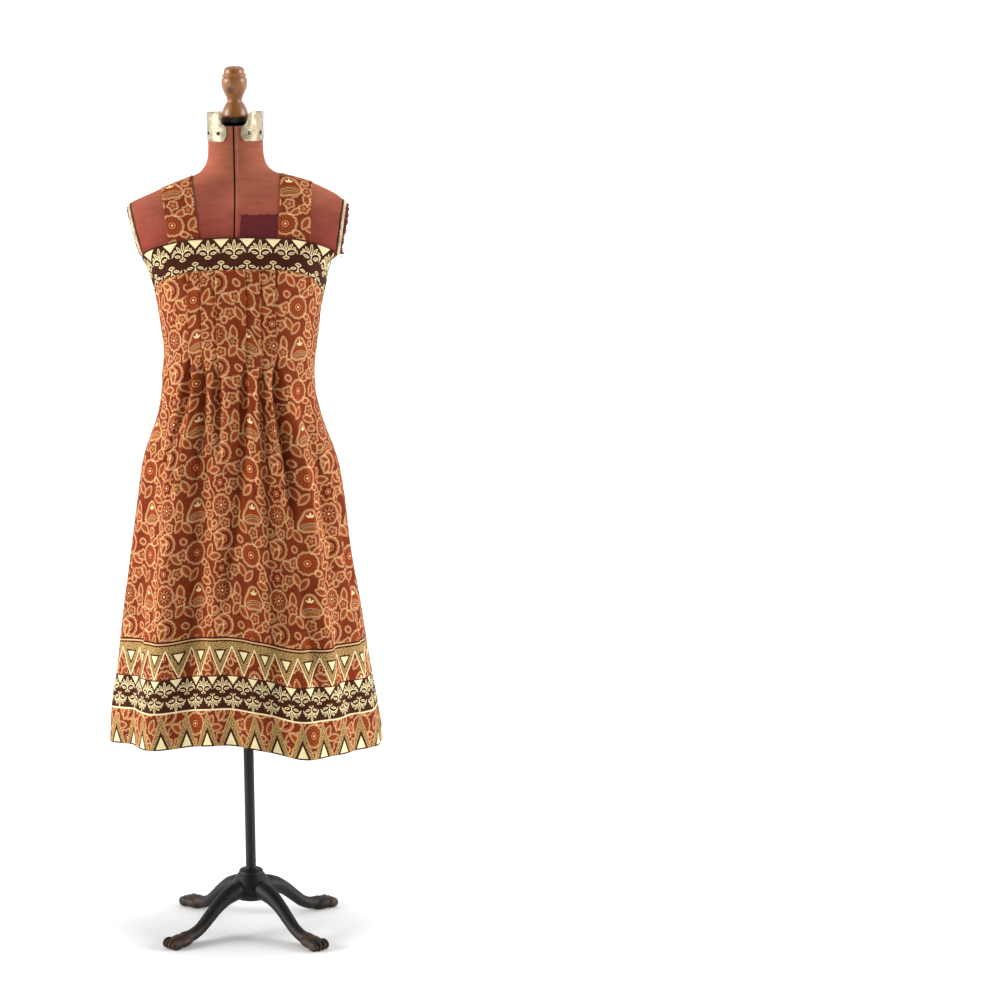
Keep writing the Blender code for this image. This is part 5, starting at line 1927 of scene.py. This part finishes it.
        # Fine dark squiggles all over the ground, about a millimetre apart
        self.stroke(self.marks(0.62, 1.0, 0.5) - 0.5, 0.11, Ink.SPECK)
        for spot, radius, span in VINES:
            self.vine(self.spot(spot), radius, span)
        self.leaf(self.nearest(LEAVES), 11.8, 5.2)
        self.bud(self.nearest(BUDS))
        self.small_flower(self.nearest(SMALL_FLOWERS))
        self.lobed_flower(self.spot(Spot(90.0, 12.0, 12.0, 0.98)))
        self.ringed_flower(self.spot(Spot(28.0, 42.0, 0.0, 1.15)))
        self.round_flower(self.spot(Spot(92.0, 124.0, 8.0, 1.12)))
        self.leafed_flower(self.spot(Spot(95.0, 64.0, 30.0, 1.12)))
        self.bell(self.spot(Spot(33.0, 116.0, 4.0, 1.22)))

    def hatched(self, where: Field) -> None:
        """Lay sand-coloured cloth shaded with close, broken strokes."""
        strokes = self.marks(0.55, 2.0, 0.6)
        self.lay(where, Ink.SAND)
        self.lay(where * (strokes > 0.52), Ink.HATCH)

    def triangles(self, centre: float, period: float, low: float, high: float, half: float,
                  down: bool) -> Field:
        """Distance outwards from a row of triangles.

        Args:
            centre: Middle of one of them.
            period: Distance from one to the next.
            low: Height of the row's lower edge.
            high: Height of its upper edge.
            half: Half of a triangle's base.
            down: Whether they point down.

        Returns:
            The distance outwards from the slanted sides.
        """
        across = abs((self.across - centre).wrap(0.5 * period, -0.5 * period))
        rise = self.up - low if down else high - self.up
        slope = half / (high - low)
        return (across - rise * slope) / math.sqrt(1.0 + slope * slope)

    def between(self, low: float, high: float) -> Field:
        """1 between two heights above the hem."""
        return line(self.up - 0.5 * (low + high), high - low)

    def sprigs(self, centre: float, period: float, size: float, upper: float, lower: float,
               parting: float, zone: Field) -> None:
        """Two rows of leafy sprigs, the lower one turned over and half a step aside.

        Args:
            centre: Middle of an upper sprig.
            period: Distance from one to the next.
            size: How much larger they are than the drawn sprig.
            upper: Height of the upper row's middle.
            lower: Height of the lower row's middle.
            parting: Height that parts the rows.
            zone: 1 where they may be printed.
        """
        in_upper = self.up > parting
        aside = self.across - centre + (1.0 - in_upper) * (0.5 * period)
        across = abs(aside.wrap(0.5 * period, -0.5 * period)) / size
        up = ((self.up - upper) * in_upper + (lower - self.up) * (1.0 - in_upper)) / size
        half = self.add("CombineXYZ", across, up, 0.0)
        # Foot first, then the stem's bow, the stem, the leaves and the berries
        whole = self.oval(self.moved(half, Spot(0.0, -8.6)), 4.8, 2.4)
        bow = abs(self.length(self.moved(half, Spot(7.6, -6.0))) - 8.4).most(-2.6 - up) - 0.55
        whole = whole.least(bow).least(across.most(abs(up + 2.0) - 6.0) - 0.6)
        for spot, size in SPRIG_LEAVES:
            whole = whole.least(self.oval(self.moved(half, spot), *size))
        for middle, radius in SPRIG_BERRIES:
            whole = whole.least(self.add("VectorMath", half, middle, operation="DISTANCE") - radius)
        self.lay(zone * (whole < 0.0), Ink.CREAM)
        self.lay(zone * (whole < -0.9), Ink.STRAW)

    def hem_border(self) -> None:
        """The border above the hem: triangles, the sprigged brown band, and triangles again."""
        # Upper triangles, each with a smaller one in it, under a hatched strip and a lined edge
        upper = self.between(127.0, 187.0)
        off = self.triangles(8.0, 48.0, 127.0, 178.0, 24.0, True)
        self.hatched(upper * (off < 0.0))
        self.lay(upper * line(off, 2.0), Ink.CREAM)
        inner = self.triangles(8.0, 48.0, 150.5, 171.0, 11.0, True)
        self.lay(self.between(148.5, 173.0) * (inner < 1.2), Ink.BROWN)
        self.lay(self.between(152.5, 170.2) * (inner < -1.5), Ink.CREAM)
        self.hatched(self.between(178.5, 186.5))
        self.lay(self.between(186.5, 195.0), Ink.BROWN)
        self.lay(self.between(189.4, 191.8), Ink.OUTLINE)
        # Lower triangles, down to the hem
        lower = self.between(0.0, 66.0)
        off = self.triangles(30.0, 50.0, -2.0, 63.0, 24.5, False)
        self.hatched(lower * (off < 0.0))
        self.lay(lower * line(off, 1.4), Ink.SAND)
        inner = self.triangles(30.0, 50.0, -2.0, 35.0, 17.0, False)
        self.lay(lower * (inner < 0.0), Ink.BROWN)
        self.lay(self.between(2.6, 66.0) * (inner < -4.2), Ink.CREAM)
        # The sprigged band between them
        band = self.between(66.0, 127.0)
        self.lay(band, Ink.BROWN)
        off = self.triangles(27.0, 42.0, 110.5, 125.0, 10.6, True)
        self.lay(self.between(110.5, 125.0) * (off < 0.0), Ink.CREAM)
        self.sprigs(6.0, 42.0, 1.2, 107.0, 83.5, 95.0, band)
        self.lay(self.between(64.6, 67.4), Ink.CREAM)

    def top_band(self) -> None:
        """The border strip that makes the top band: triangles, sprigs and half sprigs."""
        whole = self.up > -100.0
        self.lay(whole, Ink.BROWN)
        off = self.triangles(23.0, 46.0, 38.0, 52.4, 13.4, True)
        self.lay(self.between(38.0, 52.4) * (off < 0.0), Ink.CREAM)
        self.sprigs(0.0, 46.0, 1.32, 33.0, 1.0, 18.0, whole)

    def woven(self, pitch: float, relief: float) -> None:
        """Turn the inks into colours, and give the cloth its weave and its wear.

        Args:
            pitch: Distance from one drawn thread to the next.
            relief: Strength of the weave's relief.
        """
        stops = [(index / len(Ink), ink.value) for index, ink in enumerate(Ink)]
        dyed = self.add("ValToRGB", self.ink, color_ramp=Chart(stops, "CONSTANT"))
        wash = self.add("MapRange", self.marks(0.012, 3.0, 0.6), 0.3, 0.7, 0.90, 1.08)
        warp = (self.across * (FULL_TURN / pitch)).sine()
        weft = (self.up * (FULL_TURN / pitch)).sine()
        thread = warp * weft + self.marks(0.45, 2.0, 0.6) * 1.2
        shade = self.add("MapRange", thread, -0.6, 1.8, 0.93, 1.05)
        self.set(Base_Color=self.shaded(dyed, wash * shade), Roughness=0.86)
        self.set(Specular_IOR_Level=0.12, Normal=self.add("Bump", relief, 0.0004, None, thread))


class Cut(Enum):
    """Which part of the print a cloth is cut from, by the name of its material."""

    FLOWERED = "printed cotton, flowered"
    BORDER = "printed cotton, border strip"


@dataclass(frozen=True)
class PrintedCotton:
    """Screen-printed plain-weave cotton, matt and soft, its inks a little washed out."""

    cut: Cut
    repeat: tuple[float, float] = (127.0, 152.0)
    # Threads are about 0.35 mm apart, and are drawn 1.1 mm apart so that they show
    thread_pitch: float = 1.1
    relief: float = 0.35

    def made(self) -> Material:
        """Print and weave the cloth."""
        dye = Print(self.cut.value, self.repeat)
        if self.cut is Cut.FLOWERED:
            dye.allover()
            dye.hem_border()
        else:
            dye.top_band()
        dye.woven(self.thread_pitch, self.relief)
        return dye.material


@dataclass(frozen=True)
class Jersey:
    """Old rose jersey stretched over the form: matt, patched, with painted top light and a painted
    highlight.
    """

    # Colours from the chest up to the shoulders: the lighter ones are painted top light
    shades: tuple[tuple[float, str], ...] = ((0.0, "#722C26"), (0.45, "#853D32"), (1.0, "#965540"))
    patch: str = "#571F23"
    # Colour of the painted highlight along the crease on the neck
    rubbed: str = "#B6806D"

    def made(self) -> Material:
        """Knit and patch the cloth, and paint its top light and a highlight on it."""
        dye = Dye("rose cotton jersey, faded")
        place = dye.place()
        across, ahead, up = dye.add("SeparateXYZ", place).all()
        front = ahead < 0.0
        cloudy = dye.add("TexNoise", place, 9.0, 4.0, 0.6)
        # Lighter towards the shoulders and neck, with a cloudy edge: painted top light
        painted_top_light = dye.add("MapRange", up + cloudy * 0.12, 1.30, 1.45, 0.0, 1.0)
        colour = dye.add("ValToRGB", painted_top_light, color_ramp=Chart(self.shades))
        # Stains drawn out along the courses of the stretched knit
        courses = dye.add("CombineXYZ", across * 26.0, ahead * 26.0, up * 150.0 + cloudy * 2.0)
        stains = cloudy * 0.6 + dye.add("TexNoise", courses, 1.0, 5.0, 0.6) * 0.4
        stained = dye.add("MapRange", stains, 0.38, 0.62, 0.80, 1.15)
        # Patch of a darker cloth on the chest, by its middle, its size and its ragged edge
        ragged = dye.add("TexNoise", place, 90.0, 3.0, 0.6) * 0.010 - 0.005
        inside = line(across - 0.0455 + ragged, 0.066) * line(up - 1.311 + ragged, 0.040) * front
        colour = dye.spotted(colour, inside, self.patch)
        # A thin lighter line on the neck, to the wearer's left of the gap: a painted highlight along
        # a crease
        worn = line(across - 0.008, 0.0022) * (up > 1.40) * front
        colour = dye.spotted(colour, worn * 0.35, self.rubbed)
        wales = (across * 5200.0).sine() * (up * 4200.0).sine()
        knit = wales * 0.5 + dye.add("TexNoise", place, 700.0, 2.0, 0.6)
        shade = stained * dye.add("MapRange", knit, 0.0, 1.0, 0.95, 1.05)
        dye.set(Base_Color=dye.shaded(colour, shade), Roughness=0.92, Specular_IOR_Level=0.12)
        dye.set(Normal=dye.add("Bump", 0.25, 0.0004, None, knit))
        return dye.material


@dataclass(frozen=True)
class Pasteboard:
    """Cream pasteboard, cut across: dull, with dirt along its layers."""

    shades: tuple[tuple[float, str], ...] = ((0.30, "#816445"), (0.46, "#BA9F77"), (0.62, "#CDBA93"))

    def made(self) -> Material:
        """Paste up the layers."""
        dye = Dye("cream pasteboard, cut edge")
        layers = dye.add("TexNoise", dye.drawn((1.0, 0.15, 0.15)), 900.0, 2.0, 0.5)
        dirt = dye.add("TexNoise", dye.place(), 70.0, 4.0, 0.6)
        colour = dye.add("ValToRGB", layers * 0.5 + dirt * 0.5, color_ramp=Chart(self.shades))
        dye.set(Base_Color=colour, Roughness=0.85, Normal=dye.add("Bump", 0.4, 0.0004, None, layers))
        return dye.material


@dataclass(frozen=True)
class Beech:
    """Turned beech under old varnish: honey coloured and glossy, stained low on one side."""

    shades: tuple[tuple[float, str], ...] = ((0.20, "#5F300C"), (0.50, "#7C4714"), (0.85, "#8F591F"))
    stain: str = "#2E1609"
    stain_place: tuple[float, float, float] = (-0.007, -0.019, 1.546)

    def made(self) -> Material:
        """Grow, turn and varnish the wood."""
        dye = Dye("turned beech, old varnish")
        place = dye.place()
        across = dye.add("SeparateXYZ", place).all()[0]
        swirl = dye.add("TexNoise", dye.drawn((26.0, 26.0, 3.4)), 1.0, 2.0, 0.5)
        fine = dye.add("TexNoise", dye.drawn((900.0, 900.0, 60.0)), 1.0, 2.0, 0.5)
        grain = ((across * 520.0) + swirl * 7.0).sine() * 0.10 + fine * 0.6 + swirl * 0.5
        colour = dye.add("ValToRGB", grain, color_ramp=Chart(self.shades))
        spot = dye.add("VectorMath", place, self.stain_place, operation="DISTANCE")
        blot = dye.add("MapRange", spot + (fine - 0.5) * 0.008, 0.006, 0.011, 0.95, 0.0)
        dye.set(Base_Color=dye.spotted(colour, blot, self.stain), Roughness=0.42)
        dye.set(Coat_Weight=0.20, Coat_Roughness=0.30)
        dye.set(Normal=dye.add("Bump", 0.12, 0.0006, None, grain))
        return dye.material


@dataclass(frozen=True)
class PaintedTube:
    """Steel tube painted black: half-glossy, rubbed in streaks along its length."""

    shades: tuple[tuple[float, str], ...] = ((0.30, "#0C0B0A"), (0.58, "#181714"), (0.74, "#2C2A25"))

    def made(self) -> Material:
        """Paint and rub the tube."""
        dye = Dye("painted steel tube, rubbed")
        streaks = dye.add("TexNoise", dye.drawn((260.0, 260.0, 14.0)), 1.0, 4.0, 0.6)
        colour = dye.add("ValToRGB", streaks, color_ramp=Chart(self.shades))
        dye.set(Base_Color=colour, Roughness=0.5, Specular_IOR_Level=0.25)
        dye.set(Normal=dye.add("Bump", 0.10, 0.0008, None, streaks))
        return dye.material


@dataclass(frozen=True)
class CastIron:
    """Sand-cast iron painted black: grainy, and worn through to brown on the toes."""

    paint: tuple[tuple[float, str], ...] = ((0.35, "#0C0B0A"), (0.65, "#191816"))
    rust: str = "#4A3020"

    def made(self) -> Material:
        """Cast, paint and wear the iron."""
        dye = Dye("cast iron, worn black paint")
        place = dye.place()
        across, ahead, _ = dye.add("SeparateXYZ", place).all()
        cast = dye.add("TexNoise", place, 240.0, 4.0, 0.6)
        cloudy = dye.add("TexNoise", place, 38.0, 3.0, 0.6)
        flat = dye.add("CombineXYZ", across - POLE_PLACE.x, ahead - POLE_PLACE.y, 0.0)
        out = dye.add("VectorMath", flat, operation="LENGTH")
        worn = dye.add("MapRange", out + (cloudy - 0.5) * 0.10, 0.12, 0.21, 0.0, 1.0)
        worn = worn * dye.add("MapRange", cloudy, 0.40, 0.56, 0.15, 0.8)
        colour = dye.add("ValToRGB", cast, color_ramp=Chart(self.paint))
        dye.set(Base_Color=dye.spotted(colour, worn, self.rust), Metallic=0.1)
        dye.set(Roughness=dye.add("MapRange", cast, 0.3, 0.7, 0.46, 0.66), Specular_IOR_Level=0.25)
        dye.set(Normal=dye.add("Bump", 0.45, 0.0012, None, cast + cloudy))
        return dye.material


@dataclass(frozen=True)
class Mottled:
    """A plain finish whose darker and lighter shades mingle, by its marks to a metre."""

    name: str
    dark: str
    light: str
    grain: float
    roughness: float
    metal: float = 0.0
    bump: float = 0.25

    def made(self) -> Material:
        """Mingle the shades."""
        dye = Dye(self.name)
        marks = dye.add("TexNoise", dye.place(), self.grain, 4.0, 0.6)
        chart = Chart(((0.36, self.dark), (0.64, self.light)))
        rough = (self.roughness - 0.05, self.roughness + 0.05)
        dye.set(Base_Color=dye.add("ValToRGB", marks, color_ramp=chart), Metallic=self.metal)
        dye.set(Roughness=dye.add("MapRange", marks, 0.35, 0.65, *rough))
        dye.set(Normal=dye.add("Bump", self.bump, 0.3 / self.grain, None, marks))
        return dye.material


# Near-black and dull in the gap between the halves: painted shade for the dark inside of the gap
GAP_SHADE = Mottled("painted gap shade, near-black", "#0B0807", "#140F0E", 60.0, 0.9)
# Wool felt, pressed: a dark, dull line between the jersey and the board
FELT = Mottled("dark pressed felt", "#150F0E", "#2A211E", 500.0, 0.95)
# Cotton jersey, torn: its own unfaded rose shows at the edge
TORN_JERSEY = Mottled("rose jersey, torn edge", "#431321", "#813444", 260.0, 0.95)
# Nickel plate on sheet, rubbed: a soft gloss, gone yellow
NICKEL = Mottled("nickel-plated sheet, yellowed", "#7E725B", "#B8AD95", 95.0, 0.42, 0.6, 0.06)
# Steel, headed cold: dull and grey
STEEL = Mottled("steel rivet, dull", "#52514F", "#787670", 400.0, 0.45, 0.9)
# Rivet heads painted near-black: painted shade that makes them look like holes in the plates
PAINTED_HOLE_SHADE = Mottled("rivet head, painted hole shade", "#0A0908", "#181513", 400.0, 0.6)
# Iron, japanned: black with a worn gloss
JAPANNED = Mottled("japanned iron, scuffed", "#0B0A09", "#1A1816", 120.0, 0.36)
# Cotton thread, spun: rust brown and matt
THREAD = Mottled("cotton sewing thread", "#642E17", "#944E28", 900.0, 0.8)


def dress_nodes() -> None:
    """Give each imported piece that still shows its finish."""
    chosen = {
        "neck_boss": JAPANNED.made(), "form_socket": CastIron().made(), "pole": PaintedTube().made(),
    }
    nickel = NICKEL.made()
    for face in ("front", "back"):
        for side in ("left", "right"):
            chosen[f"neck_plate_{face}_{side}"] = nickel
    for name, material in chosen.items():
        materials = bpy.data.objects[name].data.materials
        materials.clear()
        materials.append(material)


@dataclass
class Studio:
    """The floor, the soft lights and the camera."""

    distance: float = 5.50
    height: float = 1.77
    azimuth: float = math.radians(3.6)
    pitch: float = math.radians(9.930089606067737)
    roll: float = math.radians(-1.2256761901733164)
    lens: float = 110.418
    centre_column: float = 243.1856
    floor_size: float = 30.0
    # Strength of the room's light in front of the dress and behind it
    front_room: float = 0.04
    back_room: float = 1.06
    # Each sun: name, side that it comes from, spread in degrees, power and colour
    suns: tuple[tuple[str, tuple[float, ...], float, float, tuple[float, ...]], ...] = (
        ("key", (-1.0, -0.20, 0.26), 30.0, 4.5, (1.0, 0.985, 0.96)),
        ("side", (1.0, -0.10, 0.25), 28.0, 3.2, (0.98, 0.99, 1.0)),
        ("top", (0.15, 0.1, 1.0), 50.0, 1.0, (1.0, 1.0, 1.0)),
    )

    def camera(self) -> None:
        """Place the camera at the photograph's viewing angle and framing."""
        made = bpy.data.cameras.new("camera")
        made.sensor_width = 36.0
        made.lens = self.lens
        made.shift_x = (500.0 - self.centre_column) / 1000.0
        made.clip_end = 60.0
        level = Vector((-math.sin(self.azimuth), math.cos(self.azimuth), 0.0))
        forward = level * math.cos(self.pitch) - UP * math.sin(self.pitch)
        right = forward.cross(UP).normalized()
        up = right.cross(forward)
        turned_right = right * math.cos(self.roll) + up * math.sin(self.roll)
        turned_up = up * math.cos(self.roll) - right * math.sin(self.roll)
        turn = Matrix((turned_right, turned_up, -forward)).transposed()
        place = -level * self.distance + UP * self.height + POLE_PLACE
        camera = put("camera", made)
        camera.matrix_world = Matrix.Translation(place) @ turn.to_4x4()
        bpy.context.scene.camera = camera

    def light(self) -> None:
        """Light the room and hang the suns."""
        world = bpy.data.worlds.new("pale room")
        world.use_nodes = True
        bpy.context.scene.world = world
        # The room is white behind the dress, as in the photograph, and dimmer in front of it
        room = Nodes(world.node_tree)
        ahead = room.add("SeparateXYZ", room.add("TexCoord")).all()[1]
        strength = room.add("MapRange", ahead, -0.50, 0.15, self.front_room, self.back_room)
        background = world.node_tree.nodes["Background"].inputs
        background["Color"].default_value = (1.0, 1.0, 1.0, 1.0)
        room.feed(background["Strength"], strength)
        for name, side, spread, power, colour in self.suns:
            made = bpy.data.lights.new(name, "SUN")
            made.angle = math.radians(spread)
            made.energy = power
            made.color = colour
            put(name, made).rotation_euler = (-Vector(side)).to_track_quat("-Z", "Y").to_euler()

    def build(self) -> None:
        """Build the pale floor, the lights and the camera."""
        built = bmesh.new()
        bmesh.ops.create_grid(built, x_segments=1, y_segments=1, size=self.floor_size)
        mesh = mesh_of(built, "floor")
        # Paper, unrolled: white and nearly dull
        paper = Dye("white seamless paper")
        paper.set(Base_Color=(0.90, 0.90, 0.90, 1.0), Roughness=0.7)
        mesh.materials.append(paper.material)
        floor = put("floor", mesh)
        floor.location.z = -0.0005
        self.light()
        bpy.context.scene.view_settings.view_transform = "Standard"
        self.camera()


def main() -> None:
    """Build the pieces in order and report them."""
    logging.basicConfig(level=logging.INFO, format="%(name)s %(message)s")
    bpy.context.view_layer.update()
    printed, border = PrintedCotton(Cut.FLOWERED).made(), PrintedCotton(Cut.BORDER).made()
    panels = [
        Panel(
            "front", Face.FRONT, FRONT_BAND_TOP, FRONT_HEM, FRONT_FOLDS, FRONT_CREASES, TUCKS, 0.0,
        ),
        Panel(
            "back", Face.BACK, BACK_BAND_TOP, BACK_HEM, BACK_FOLDS, BACK_CREASES, (), 0.63,
            plain_columns=150,
        ),
    ]
    straps = [
        Strap("right", -0.0895, -0.1070, -0.0920, 0.045),
        Strap("left", 0.1060, 0.1085, 0.1000, 0.172),
    ]
    form = FormCover([
        ArmEnd("right", -1, 0.1802, 0.2835, 0.45),
        ArmEnd("left", 1, 0.1890, 0.145, 1.0),
    ])
    form.build()
    form.build_arms()
    for strap in straps:
        strap.build(printed)
    topstitching = Stitches("band_topstitching")
    for panel in panels:
        panel.build_band(border)
        panel.build(printed)
        panel.sew(topstitching)
    topstitching.finish()
    Finial().build()
    Rivets().build()
    Stand().build()
    dress_nodes()
    Studio().build()


if __name__ == "__main__":
    main()
